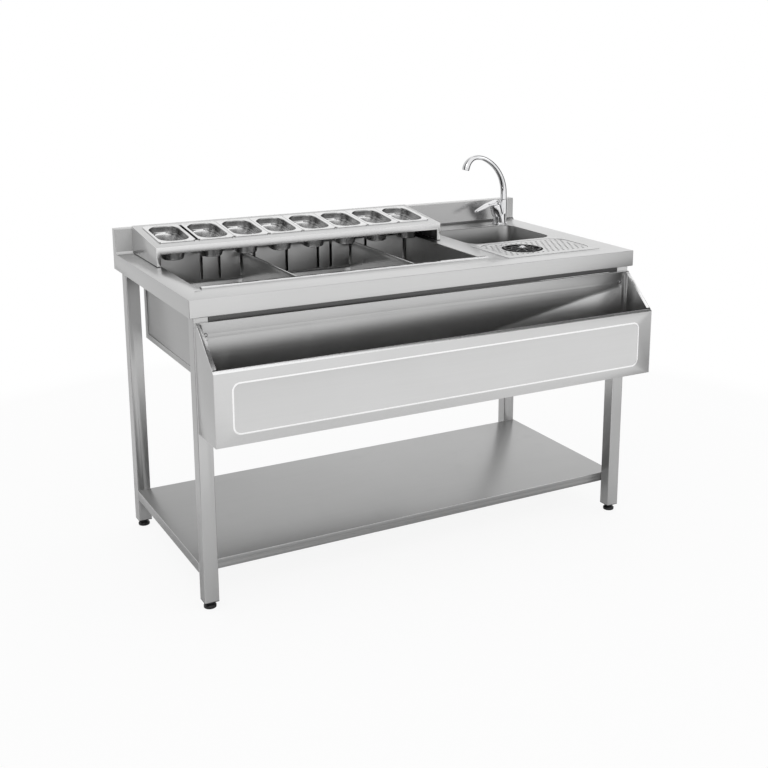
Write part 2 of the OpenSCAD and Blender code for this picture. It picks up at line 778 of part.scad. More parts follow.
module sink_strainer() color(bright) place() {
    translate([sink_mid[0], sink_mid[1], sink_floor + 2]) difference() {
        cylinder(r = waste_r + 6, h = 1.5);
        for (ring = [0, 1], k = [0:5 + 6 * ring])
            rotate(k * 60 / (1 + ring)) translate([7 + 8 * ring, 0, -past]) cylinder(r = 2, h = 5);
        translate([0, 0, -past]) cylinder(r = 2, h = 5);
    }
}

// Glass rinser: framed basin, perforated plate, sprung star over its valve
module rinser_basin() color(steel) place() {
    step_size = plate_size + [8, 8];
    low_size = plate_size - [2 * ledge, 2 * ledge];
    difference() {
        union() {
            slab(tray_mid, [tray_w, tray_d], 9, top_h, top_h + tray_t);
            slab(tray_mid, step_size, plate_r + 3.5, ledge_z - tray_t, top_h + tray_t);
            slab(tray_mid, low_size + [2 * tray_t, 2 * tray_t], plate_r - ledge + tray_t, basin_z, ledge_z);
        }
        slab(tray_mid, plate_size + [2, 2], plate_r + 1, ledge_z, top_h + 2);
        slab(tray_mid, low_size, plate_r - ledge, basin_z + tray_t, top_h);
        translate([star_at[0], star_at[1], basin_z - 5]) cylinder(r = 11, h = 10);
        translate([basin_drain_at[0], basin_drain_at[1], basin_z - 5])
            cylinder(r = basin_drain_r - 1.5, h = 10);
    }
    translate([basin_drain_at[0], basin_drain_at[1], basin_z - basin_drain_l]) difference() {
        cylinder(r = basin_drain_r, h = basin_drain_l);
        translate([0, 0, -past]) cylinder(r = basin_drain_r - 1.5, h = basin_drain_l + 2 * past);
    }
}
function in_plate(p) = let (
    half = plate_size / 2 - [8, 8] - [hole_r, hole_r],
    r = plate_r - 10,
    q = [max(abs(p[0]) - half[0] + r, 0), max(abs(p[1]) - half[1] + r, 0)]
) norm(q) < r + 0.01;
function off_star(p) = norm(p + [star_off, 0]) > star_r + star_gap + hole_r + 3;
module rinser_plate() color(bright) place() {
    rows = floor(plate_size[1] / hole_pitch / 2);
    columns = floor(plate_size[0] / hole_pitch / 2);
    translate([tray_mid[0], tray_mid[1], ledge_z]) linear_extrude(plate_t) difference() {
        rounded(plate_size[0], plate_size[1], plate_r);
        translate([-star_off, 0]) circle(star_r + star_gap);
        for (i = [-columns:columns], j = [-rows:rows]) let (
            p = [(i + (j % 2 == 0 ? 0 : 0.5)) * hole_pitch, j * hole_pitch]
        ) if (in_plate(p) && off_star(p)) translate(p) circle(hole_r);
    }
}
module rinser_star() color(dark) place() {
    translate([star_at[0], star_at[1], star_z]) {
        difference() {
            union() {
                difference() {
                    cylinder(r = star_r, h = star_h);
                    translate([0, 0, -past]) cylinder(r = star_r - 4, h = star_h + 2);
                }
                difference() {
                    cylinder(r = star_r * 0.62, h = star_h - 1);
                    translate([0, 0, -past]) cylinder(r = star_r * 0.62 - 3, h = star_h + 2);
                }
                for (k = [0:spokes - 1]) rotate(k * 360 / spokes)
                    translate([0, -1.8, 0]) cube([star_r - 2, 3.6, star_h - 0.5]);
                cylinder(r = 15, h = star_h);
            }
            translate([0, 0, -past]) cylinder(r = 7, h = star_h + 2);
        }
    }
}
module rinser_nozzle() color(chrome) place() {
    translate([star_at[0], star_at[1], star_z]) rotate_extrude() polygon([
        [0, stem_z - star_z], [stem_r, stem_z - star_z], [stem_r, 0], [7, 0], [7, star_h],
        [10, star_h], [10, star_h + 2], [5, star_h + 6], [0, star_h + 7]
    ]);
}
module rinser_valve() color(chrome) place() {
    translate([star_at[0], star_at[1], 0]) difference() {
        union() {
            translate([0, 0, basin_z + tray_t]) cylinder(r = valve_r, h = valve_top - basin_z - tray_t);
            translate([0, 0, basin_z - valve_inlet_l]) cylinder(r = valve_inlet_r, h = valve_inlet_l + 20);
            translate([0, 0, basin_z - 14]) cylinder(r = valve_r - 1, h = 14, $fn = nut_sides);
            translate([0, 0, basin_z - past]) cylinder(r = 10.5, h = 4);
        }
        translate([0, 0, stem_z - star_travel - 1]) cylinder(r = stem_r + turn_gap, h = 40);
        translate([0, 0, basin_z - valve_inlet_l - past]) cylinder(r = 4, h = 30);
    }
}
module rinser_spring() color(steel) place() {
    translate([star_at[0], star_at[1], valve_top]) difference() {
        cylinder(r = stem_r + 4, h = star_z - valve_top);
        translate([0, 0, -past]) cylinder(r = stem_r + 2, h = star_z - valve_top + 2);
    }
}

// Single lever mixer tap, turned to face along the worktop
module at_tap() place() translate([tap_x, tap_y, 0]) children();
module at_barrel() at_tap() translate([barrel_from[0], 0, barrel_from[1]])
    rotate([0, -barrel_tilt, 0]) children();
module tap_body() color(chrome) {
    difference() {
        union() {
            at_tap() {
                translate([0, 0, tap_foot]) cylinder(r1 = tap_body_r, r2 = barrel_r, h = 30);
                translate([0, 0, top_h - shank_l]) cylinder(r = shank_r, h = shank_l + 10);
                translate([column_off, 0, tap_foot + 6])
                    cylinder(r = column_r, h = column_top - tap_foot - 6);
                translate([column_off - 7, 0, tap_foot + 1]) cylinder(r = column_r + 2, h = 30);
            }
            at_barrel() cylinder(r = barrel_r, h = barrel_l);
        }
        at_barrel() translate([0, 0, barrel_l - 20]) cylinder(r = cartridge_r, h = 30);
        at_tap() {
            translate([column_off, 0, column_top - spigot_l - 1])
                cylinder(r = spigot_r + turn_gap, h = spigot_l + 5);
            for (y = [-1, 1]) translate([0, y * 8, top_h - shank_l - past])
                cylinder(r = inlet_r, h = 14 + past);
        }
    }
}
module tap_base_ring() color(chrome) at_tap() translate([0, 0, top_h]) rotate_extrude() polygon([
    [shank_r + slide_gap, 0], [tap_ring_r, 0], [tap_ring_r, tap_ring_h - 2],
    [tap_ring_r - 2, tap_ring_h], [shank_r + slide_gap, tap_ring_h]
]);
module tap_nut() color(steel) at_tap() translate([0, 0, under_top - 9]) difference() {
    cylinder(r = shank_r + 8, h = 9);
    translate([0, 0, -past]) cylinder(r = shank_r + slide_gap, h = 12);
}
module tap_cartridge() color(dark) at_barrel() translate([0, 0, barrel_l - 20]) difference() {
    cylinder(r = cartridge_r - slide_gap, h = 20);
    translate([0, 0, 6]) cylinder(r = stem_r + turn_gap, h = 20);
}
// Bonnet: cap on the cartridge's stem, with an ear and a cross pin at the lever's back
module across(r, l) translate([pivot_at[0], l / 2, pivot_at[1]]) rotate([90, 0, 0]) cylinder(r = r, h = l);
module tap_bonnet() color(chrome) at_barrel() {
    top = barrel_l + slide_gap + bonnet_h;
    translate([0, 0, barrel_l + slide_gap]) cylinder(r1 = barrel_r - 0.5, r2 = barrel_r - 2, h = bonnet_h);
    translate([0, 0, barrel_l - 12]) cylinder(r = stem_r, h = 13);
    across(ear[0], ear[1]);
    span([pivot_at[0] - ear[0], -ear[1] / 2, top - 1], [pivot_at[0] + ear[0], ear[1] / 2, pivot_at[1]]);
    across(pivot_r, pivot_l);
}

// Lever: domed hub and a broad paddle, with a slot and a blind bore round the bonnet's ear and pin
module button(x, w, h, r) {
    translate([-x, 0, w]) {
        cylinder(r1 = r - 2, r2 = r, h = h * 0.3, $fn = hull_fn);
        translate([0, 0, h * 0.3]) cylinder(r = r, h = h * 0.3, $fn = hull_fn);
        translate([0, 0, h * 0.6]) cylinder(r1 = r, r2 = r * 0.7, h = h * 0.4, $fn = hull_fn);
    }
}
module tap_lever() color(chrome) at_barrel() difference() {
    union() {
        hull() {
            button(0, lever_from, hub_h, barrel_r - 4.5);
            button(lever_l * 0.45, lever_from + 5, 9, 14);
        }
        hull() {
            button(lever_l * 0.45, lever_from + 5, 9, 14);
            button(lever_l, lever_from + 2, 7, 10.5);
        }
    }
    across(pivot_r + turn_gap, pivot_l + slide_gap);
    across(ear[0] + 0.4, ear[1] + 2 * slide_gap);
    span([pivot_at[0] - ear[0] - 0.4, -ear[1] / 2 - slide_gap, lever_from - past],
        [barrel_r, ear[1] / 2 + slide_gap, pivot_at[1]]);
}

// Spout: a tube swept along three bends that meet smoothly, wider at its mouth
function bend_points(p, heading, r, turn) = [
    for (i = [1:spout_steps]) let (a = heading + turn * i / spout_steps)
        [p[0] - r * sin(heading) + r * sin(a), p[1] + r * cos(heading) - r * cos(a), a]
];
function spout_path(k, path) = k == len(spout_bends) ? path : let (end = path[len(path) - 1])
    spout_path(k + 1, concat(path, bend_points(end, end[2], spout_bends[k][0], spout_bends[k][1])));
spout_line = spout_path(0, [[0, 0, 90], [0, spout_rise, 90]]);
function ease(part) = let (p = min(max(part, 0), 1)) p * p * (3 - 2 * p);
function spout_radius(i) = let (flare = len(spout_line) - 1 - spout_steps)
    spout_foot_r + (spout_r - spout_foot_r) * ease((i + 3) / (spout_steps + 8))
        + (mouth_r - spout_r) * ease((i - flare) / spout_steps);
module swept_tube(line) {
    n = len(line);
    s = spout_sides;
    points = [for (i = [0:n - 1], k = [0:s - 1]) let (
        h = line[i][2], a = 360 * k / s, r = spout_radius(i)
    ) [line[i][0] - r * cos(a) * sin(h), r * sin(a), line[i][1] + r * cos(a) * cos(h)]];
    walls = [for (i = [0:n - 2], k = [0:s - 1]) let (
        a = i * s + k, b = i * s + (k + 1) % s
    ) each [[a, b, a + s], [b, b + s, a + s]]];
    polyhedron(points, concat(walls, [[for (k = [s - 1:-1:0]) k], [for (k = [0:s - 1]) (n - 1) * s + k]]));
}
module at_spout() at_tap() translate([column_off, 0, 0]) children();
module tap_spout() color(chrome) at_spout() {
    translate([0, 0, column_top - spigot_l + 1]) cylinder(r = spigot_r, h = spigot_l);
    translate([0, 0, column_top + slide_gap]) cylinder(r = column_r - 1, h = collar_h);
    translate([0, 0, spout_start - 0.5]) swept_tube(spout_line);
}
spout_end = spout_line[len(spout_line) - 1];
module tap_aerator() color(chrome) at_spout()
    translate([spout_end[0], 0, spout_start - 0.5 + spout_end[1]]) rotate([0, 90 - spout_end[2], 0])
        difference() {
            cylinder(r1 = mouth_r, r2 = mouth_r - 0.8, h = 7);
            translate([0, 0, 4]) cylinder(r = mouth_r - 2.5, h = 5);
        }

// Speed rail: folded trough with a pressed bead, end plates with sloped folds, hanging screws
module keyhole(x) {
    translate([x, leg_in_front, screw_z]) rotate([90, 0, 0]) {
        cylinder(r = screw_r + slide_gap, h = 8, center = true);
        translate([0, -key_drop, 0]) cylinder(r = screw_head[0] + 0.8, h = 8, center = true);
        translate([-screw_r - slide_gap, -key_drop, -4]) cube([2 * screw_r + 2 * slide_gap, key_drop, 8]);
    }
}
module speed_rail() color(steel) place() {
    top = rail_z + rail_back_h;
    front_top = rail_z + rail_front_h;
    bead_size = [rail_x[1] - rail_x[0] - 2 * bead_in_x, rail_front_h - 2 * bead_in_z];
    difference() {
        union() {
            along_x(rail_x[0] + rail_t, rail_x[1] - rail_t) fold([
                [rail_front_y + rail_lip, front_top + rail_lip], [rail_front_y, front_top],
                [rail_front_y, rail_z], [leg_in_front, rail_z],
                [leg_in_front, top], [leg_in_front - rail_fold, top]
            ], rail_t);
            translate([top_w / 2, rail_front_y + 0.5, rail_z + rail_front_h / 2]) rotate([90, 0, 0])
                linear_extrude(bead_h + 0.5) difference() {
                    rounded(bead_size[0], bead_size[1], bead_r);
                    rounded(bead_size[0] - 2 * bead_w, bead_size[1] - 2 * bead_w, bead_r - bead_w);
                }
        }
        for (x = screw_x) keyhole(x);
    }
}
module rail_end(x, inward) color(steel) place() {
    top = rail_z + rail_back_h;
    front_top = rail_z + rail_front_h;
    slope_y = leg_in_front - rail_fold;
    along_x(x - (inward < 0 ? rail_t : 0), x + (inward > 0 ? rail_t : 0)) polygon([
        [rail_front_y, rail_z], [leg_in_front, rail_z], [leg_in_front, top], [slope_y, top],
        [rail_front_y + rail_lip, front_top + rail_lip], [rail_front_y, front_top]
    ]);
    along_x(min(x, x + inward * rail_end_fold), max(x, x + inward * rail_end_fold))
        fold([[slope_y - 3, top - 3 * rail_slope], [rail_front_y + rail_lip + 3,
            front_top + rail_lip + 3 * rail_slope]], rail_t);
}
rail_lip = rail_fold * sin(45);
rail_slope = (rail_back_h - rail_front_h - rail_lip) / (rail_d - rail_fold - rail_lip);
module speed_rail_end_left() rail_end(rail_x[0], 1);
module speed_rail_end_right() rail_end(rail_x[1], -1);
module rail_screws() color(bright) place() {
    for (x = screw_x) translate([x, leg_in_front - rail_t - slide_gap, screw_z]) rotate([90, 0, 0]) {
        cylinder(r1 = screw_head[0], r2 = screw_head[0] - 2, h = screw_head[1]);
        translate([0, 0, -10]) cylinder(r = screw_r, h = 10);
    }
}

worktop();
worktop_stiffener();
leg_front_left();
leg_front_right();
leg_rear_left();
leg_rear_right();
leg_plug_front_left();
leg_plug_front_right();
leg_plug_rear_left();
leg_plug_rear_right();
foot_front_left();
foot_front_right();
foot_rear_left();
foot_rear_right();
frame_tube_front();
frame_tube_rear();
frame_tube_left();
frame_tube_right();
shelf();
shelf_stiffener();
shelf_bolts();
well_tub();
well_base_frame();
well_front_strip();
well_rear_guide();
well_drain();
divider_left();
divider_right();
pan_holder();
holder_seal();
pan_1();
pan_2();
pan_3();
pan_4();
pan_5();
pan_6();
pan_7();
pan_8();
sink_bowl();
sink_waste();
sink_waste_nut();
sink_strainer();
rinser_basin();
rinser_plate();
rinser_star();
rinser_nozzle();
rinser_valve();
rinser_spring();
tap_body();
tap_base_ring();
tap_nut();
tap_spout();
tap_aerator();
tap_cartridge();
tap_bonnet();
tap_lever();
speed_rail();
speed_rail_end_left();
speed_rail_end_right();
rail_screws();
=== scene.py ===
"""Dresses the bar station: folded sheet steel, drawn pans and bowl, the rinser, the tap and every finish.

Lengths in the classes are in millimetres where no other unit is named.
"""

import json
import logging
import math
from dataclasses import dataclass, field
from enum import Enum
from typing import Callable, ClassVar, Optional, Sequence

import bmesh
import bpy
from bpy.types import MeshPolygon, Node, NodeSocket, NodeTree, Object
from mathutils import Matrix, Vector

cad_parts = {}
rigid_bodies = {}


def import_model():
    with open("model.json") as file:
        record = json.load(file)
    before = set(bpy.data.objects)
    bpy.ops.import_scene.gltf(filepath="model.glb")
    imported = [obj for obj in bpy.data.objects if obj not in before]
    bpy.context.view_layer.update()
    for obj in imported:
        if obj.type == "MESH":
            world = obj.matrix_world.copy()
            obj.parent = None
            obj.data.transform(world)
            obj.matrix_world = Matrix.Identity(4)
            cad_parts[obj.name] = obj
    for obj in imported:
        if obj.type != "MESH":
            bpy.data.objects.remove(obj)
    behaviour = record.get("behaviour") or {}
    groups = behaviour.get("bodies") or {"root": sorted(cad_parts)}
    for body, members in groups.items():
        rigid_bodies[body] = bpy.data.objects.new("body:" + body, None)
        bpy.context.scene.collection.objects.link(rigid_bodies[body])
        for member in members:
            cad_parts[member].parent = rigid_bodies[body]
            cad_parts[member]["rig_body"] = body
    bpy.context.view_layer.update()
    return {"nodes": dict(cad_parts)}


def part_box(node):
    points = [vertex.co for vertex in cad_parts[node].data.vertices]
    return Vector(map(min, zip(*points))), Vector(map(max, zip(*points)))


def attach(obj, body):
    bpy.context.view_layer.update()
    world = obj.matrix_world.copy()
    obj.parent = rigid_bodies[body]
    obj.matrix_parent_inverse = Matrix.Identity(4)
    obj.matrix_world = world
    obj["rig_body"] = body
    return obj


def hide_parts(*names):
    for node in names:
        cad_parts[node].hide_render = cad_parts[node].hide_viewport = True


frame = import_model()
LOG = logging.getLogger("bar_station")

MM = 0.001
MERGE_WITHIN = 0.02 * MM
FLAT_WITHIN = math.radians(0.5)
SHARP_FROM = math.radians(30)
FACES_FRONT = -0.9  # A face's normal along Y, where it looks to the front
Point = tuple[float, float, float]


class Grain(Enum):
    """The way in which a sheet was brushed, as the turn that brings it along X."""

    ALONG_X = (0.0, 0.0, 0.0)
    ALONG_Y = (0.0, 0.0, math.pi / 2)
    ALONG_Z = (0.0, math.pi / 2, 0.0)


def deselect() -> None:
    """Clears the selection in object mode."""
    if bpy.context.object and bpy.context.object.mode != "OBJECT":
        bpy.ops.object.mode_set(mode="OBJECT")
    bpy.ops.object.select_all(action="DESELECT")


def activate(piece: Object) -> None:
    """Makes one object the only selected and the active one."""
    deselect()
    piece.select_set(True)
    bpy.context.view_layer.objects.active = piece


def apply_modifier(piece: Object, kind: str, **settings: object) -> None:
    """Adds a modifier and applies it.

    Args:
        piece: The object to change.
        kind: Blender's name for the modifier's type.
        **settings: The modifier's own values.
    """
    activate(piece)
    modifier = piece.modifiers.new(kind.title(), kind)
    for key, value in settings.items():
        setattr(modifier, key, value)
    bpy.ops.object.modifier_apply(modifier=modifier.name)


def settle(piece: Object) -> None:
    """Puts an object's place, turn and size into its mesh."""
    activate(piece)
    bpy.ops.object.transform_apply(location=True, rotation=True, scale=True)


def shade(piece: Object, degrees: float = 35.0) -> None:
    """Smooths a piece except across edges sharper than the given angle."""
    activate(piece)
    bpy.ops.object.shade_smooth_by_angle(angle=math.radians(degrees))


# Node trees, and the effects that the finishes share


@dataclass(frozen=True)
class Nodes:
    """A node tree under construction.

    Attributes:
        tree: The tree.
    """

    tree: NodeTree

    @classmethod
    def of(cls, owner: bpy.types.ID) -> "Nodes":
        """Empties the tree of a material or of the world."""
        owner.use_nodes = True
        owner.node_tree.nodes.clear()
        return cls(owner.node_tree)

    @classmethod
    def start(cls, name: str, inputs: dict[str, float | str], outputs: Sequence[str]) -> "Nodes":
        """Makes an empty group.

        Args:
            name: The group's name.
            inputs: Each input's name, with its default value or the word vector.
            outputs: The names of the outputs, which are all plain values.

        Returns:
            The group's tree, ready for its nodes.
        """
        tree = bpy.data.node_groups.new(name, "ShaderNodeTree")
        for socket, default in inputs.items():
            kind = "NodeSocketVector" if default == "vector" else "NodeSocketFloat"
            made = tree.interface.new_socket(name=socket, in_out="INPUT", socket_type=kind)
            if default != "vector":
                made.default_value = default
        for socket in outputs:
            tree.interface.new_socket(name=socket, in_out="OUTPUT", socket_type="NodeSocketFloat")
        return cls(tree)

    def join(self, value: object, socket: NodeSocket) -> None:
        """Links a socket to another, or fills it with a plain value."""
        if isinstance(value, NodeSocket):
            self.tree.links.new(value, socket)
        else:
            socket.default_value = value

    def add(self, kind: str, *numbered: object, **named: object) -> Node:
        """Adds a node, sets its own attributes and links or fills its sockets.

        Args:
            kind: The node's type.
            *numbered: Links or values for its first sockets.
            **named: Its attributes, and its other sockets with underscores for spaces.

        Returns:
            The new node.
        """
        node = self.tree.nodes.new(kind)
        for key, value in named.items():
            if hasattr(node, key) and not isinstance(value, NodeSocket):
                setattr(node, key, value)
            else:
                self.join(value, node.inputs[key.replace("_", " ")])
        for socket, value in zip(node.inputs, numbered):
            self.join(value, socket)
        return node

    def group(self, name: str, build: Callable[[str], NodeTree], **named: object) -> Node:
        """Adds a shared group, which is built when it is first wanted.

        Args:
            name: The group's name.
            build: Builds it under that name.
            **named: Links or values for its sockets.

        Returns:
            The group's node.
        """
        shared = bpy.data.node_groups.get(name) or build(name)
        return self.add("ShaderNodeGroup", node_tree=shared, **named)

    def mapped(self, vector: NodeSocket, **change: Point) -> NodeSocket:
        """Turns the coordinates, or stretches them along each axis."""
        return self.add("ShaderNodeMapping", Vector=vector, **change).outputs["Vector"]

    def noise(self, vector: NodeSocket, scale: float, detail: float = 2.0) -> NodeSocket:
        """Adds a noise texture and returns its value."""
        return self.add("ShaderNodeTexNoise", Vector=vector, Scale=scale, Detail=detail).outputs["Fac"]

    def math(self, operation: str, *values: object, clamp: bool = False) -> NodeSocket:
        """Adds a sum on one or two values and returns its result."""
        return self.add("ShaderNodeMath", *values, operation=operation, use_clamp=clamp).outputs["Value"]

    def vector_math(self, operation: str, *values: object) -> Node:
        """Adds a sum on one or two vectors."""
        return self.add("ShaderNodeVectorMath", *values, operation=operation)

    def weighted(self, value: object, share: object) -> NodeSocket:
        """Multiplies a value by its share."""
        return self.math("MULTIPLY", value, share)

    def ramp(self, value: object, low: float, high: float) -> NodeSocket:
        """Turns a value into 0 below low and 1 above high, smoothly."""
        return self.add(
            "ShaderNodeMapRange", interpolation_type="SMOOTHSTEP", Value=value, From_Min=low, From_Max=high
        ).outputs["Result"]

    def blend(self, factor: object, first: object, second: object) -> NodeSocket:
        """Mixes two values: the first where the factor is 0, and the second where it is 1."""
        node = self.add("ShaderNodeMix", factor, data_type="FLOAT")
        self.join(first, node.inputs[2])
        self.join(second, node.inputs[3])
        return node.outputs[0]

    def finish(self, **outputs: NodeSocket) -> NodeTree:
        """Links the group's outputs, by their names, and returns its tree."""
        out = self.add("NodeGroupOutput")
        for name, value in outputs.items():
            self.join(value, out.inputs[name])
        return self.tree


def brushed_effect(name: str) -> NodeTree:
    """Builds the brushed grain: fine lines along X, or along Y on faces that look along X.

    Args:
        name: The group's name.

    Returns:
        The group, with a tone, a roughness and a height that vary over the surface.
    """
    effect = Nodes.start(
        name,
        {"Vector": "vector", "Facing": "vector", "Line Depth": 1.0, "Cloud": 1.0},
        ["Tone", "Wear", "Height"],
    )
    group = effect.add("NodeGroupInput")
    facing = effect.add("ShaderNodeSeparateXYZ", Vector=group.outputs["Facing"])
    end_face = effect.ramp(effect.math("ABSOLUTE", facing.outputs["X"]), low=0.6, high=0.8)
    vector = group.outputs["Vector"]
    heights = []
    lines: object = 0.0
    for along, across, share in ((9.0, 900.0, 0.45), (2.5, 190.0, 0.35), (1.1, 45.0, 0.2)):
        lengthwise = effect.noise(effect.mapped(vector, Scale=(along, across, across)), 1.0)
        sideways = effect.noise(effect.mapped(vector, Scale=(across, along, across)), 1.0)
        heights.append(effect.blend(end_face, lengthwise, sideways))
        lines = effect.math("ADD", lines, effect.weighted(heights[-1], share))
    cloud = effect.noise(vector, scale=5.0, detail=3.0)
    mottle = effect.weighted(effect.math("SUBTRACT", cloud, 0.5), group.outputs["Cloud"])
    depth = effect.weighted(effect.math("SUBTRACT", lines, 0.5), group.outputs["Line Depth"])
    marks = effect.ramp(effect.noise(vector, scale=17.0, detail=4.0), low=0.58, high=0.74)
    tone = effect.math("ADD", 0.5, effect.math("ADD", depth, effect.weighted(mottle, 0.7)), clamp=True)
    wear = effect.math("ADD", effect.weighted(lines, 0.7), effect.weighted(marks, 0.3), clamp=True)
    return effect.finish(Tone=tone, Wear=wear, Height=heights[0])


def handling_effect(name: str) -> NodeTree:
    """Builds the dried drops and wiping marks that bright metal picks up.

    Args:
        name: The group's name.

    Returns:
        The group, with a mask of marks and a fine height.
    """
    effect = Nodes.start(name, {"Vector": "vector"}, ["Marks", "Height"])
    vector = effect.add("NodeGroupInput").outputs["Vector"]
    ramped_mask = effect.ramp(effect.noise(vector, scale=34.0, detail=5.0), low=0.5, high=0.75)
    drops = effect.add("ShaderNodeTexVoronoi", Vector=vector, Scale=150.0)
    spots = effect.math("SUBTRACT", 1.0, effect.ramp(drops.outputs["Distance"], low=0.08, high=0.16))
    marks = effect.math("ADD", effect.weighted(ramped_mask, 0.7), effect.weighted(spots, 0.3))
    return effect.finish(Marks=marks, Height=effect.noise(vector, scale=420.0, detail=3.0))


# The finishes


Pattern = tuple[NodeSocket, NodeSocket, NodeSocket]


@dataclass(frozen=True)
class Finish:
    """What every finish has.

    Attributes:
        name: The material's name.
        slot: The record's material slot, which is not used.
        dark: The darker of the two colours that the surface varies between.
        pale: The paler of the two.
        smooth: The least roughness.
        rough: The most roughness.
        bump: The height of the finest relief.
        metallic: Whether it is metal, as 1 or 0.
    """

    name: str
    slot: str
    dark: Point
    pale: Point
    smooth: float
    rough: float
    bump: float
    metallic: ClassVar[float] = 1.0

    def build(self) -> bpy.types.Material:
        """Makes the material, whose pattern varies its colour, its roughness and its relief."""
        material = bpy.data.materials.new(self.name)
        nodes = Nodes.of(material)
        where = nodes.add("ShaderNodeTexCoord")
        tone, wear, height = self.pattern(nodes, where.outputs["Object"], where.outputs["Normal"])
        mix = nodes.add("ShaderNodeMix", tone, data_type="RGBA")
        mix.inputs[6].default_value = (*self.dark, 1)
        mix.inputs[7].default_value = (*self.pale, 1)
        spread = nodes.add("ShaderNodeMapRange", Value=wear, To_Min=self.smooth, To_Max=self.rough)
        bump = nodes.add("ShaderNodeBump", Height=height, Distance=self.bump * MM, Strength=1.0)
        shader = nodes.add(
            "ShaderNodeBsdfPrincipled", Metallic=self.metallic, Base_Color=mix.outputs[2],
            Roughness=spread.outputs["Result"], Normal=bump.outputs["Normal"],
        )
        nodes.add("ShaderNodeOutputMaterial", Surface=shader.outputs["BSDF"])
        return material

    def pattern(self, nodes: Nodes, place: NodeSocket, normal: NodeSocket) -> Pattern:
        """Adds what varies over the surface.

        Args:
            nodes: The material's nodes.
            place: The place on the piece.
            normal: The surface's direction there.

        Returns:
            A value from the dark to the pale colour, one from smooth to rough, and the relief.
        """
        raise NotImplementedError


@dataclass(frozen=True)
class BrushedSteel(Finish):
    """Sheet or tube brushed in one direction.

    Attributes:
        grain: The way in which it was brushed.
        lines: How much the lines show.
        cloud: How much broad patches show.
    """

    grain: Grain = Grain.ALONG_X
    lines: float = 0.6
    cloud: float = 0.5

    def pattern(self, nodes: Nodes, place: NodeSocket, normal: NodeSocket) -> Pattern:
        """Adds brushed lines along the grain."""
        vector, facing = (nodes.mapped(socket, Rotation=self.grain.value) for socket in (place, normal))
        group = nodes.group(
            "brushed_grain", brushed_effect, Vector=vector, Facing=facing, Line_Depth=self.lines, Cloud=self.cloud
        )
        return group.outputs["Tone"], group.outputs["Wear"], group.outputs["Height"]


@dataclass(frozen=True)
class BrightMetal(Finish):
    """Drawn and polished steel, or chrome plate."""

    def pattern(self, nodes: Nodes, place: NodeSocket, normal: NodeSocket) -> Pattern:
        """Adds wiping marks, which are darker and rougher than the metal."""
        group = nodes.group("handling_marks", handling_effect, Vector=place)
        marks = group.outputs["Marks"]
        return nodes.math("SUBTRACT", 1.0, marks), marks, group.outputs["Height"]


@dataclass(frozen=True)
class PaintedEdgeLight(Finish):
    """Edges with painted light where they look up and painted shade where they look down.

    Attributes:
        turn: How far an edge looks up or down where the two tones meet.
        fade: How far the tones fade into each other to each side of that.
    """

    turn: float = -0.35
    fade: float = 0.2

    def pattern(self, nodes: Nodes, place: NodeSocket, normal: NodeSocket) -> Pattern:
        """Adds painted light where the edge looks up, painted shade where it looks down, and fine scratches."""
        facing = nodes.add("ShaderNodeSeparateXYZ", Vector=normal)
        # Painted light and shade by facing: pale where the edge looks up, dark where it looks down.
        ramped_mask = nodes.ramp(facing.outputs["Z"], self.turn - self.fade, self.turn + self.fade)
        scratch = nodes.noise(place, scale=260.0, detail=3.0)
        return ramped_mask, scratch, scratch


@dataclass(frozen=True)
class Moulded(Finish):
    """Moulded plastic or rubber with a fine spark texture and scuffs.

    Attributes:
        spark: How fine the moulded texture is.
    """

    spark: float = 900.0
    metallic: ClassVar[float] = 0.0

    def pattern(self, nodes: Nodes, place: NodeSocket, normal: NodeSocket) -> Pattern:
        """Adds scuffs and the spark texture."""
        marks = nodes.group("handling_marks", handling_effect, Vector=place).outputs["Marks"]
        return marks, marks, nodes.noise(place, self.spark)


def grey(level: float) -> Point:
    """Returns a colour without a hue."""
    return (level, level, level)


def steel(
    name: str, tone: float, grain: Grain = Grain.ALONG_X, spread: float = 0.05, rough: float = 0.30,
    lines: float = 0.6, slot: str = "brushed_steel",
) -> BrushedSteel:
    """Describes a brushed steel.

    Args:
        name: The material's name.
        tone: Its mean grey.
        grain: The way in which it was brushed.
        spread: How far it varies to each side of the mean.
        rough: Its mean roughness.
        lines: How much its lines show.
        slot: The record's material slot.

    Returns:
        The finish.
    """
    low, high = tone - spread, tone + spread
    return BrushedSteel(
        name, slot, (low, low, low * 0.995), grey(high), rough - 0.05, rough + 0.07, 0.02,
        grain=grain, lines=lines,
    )


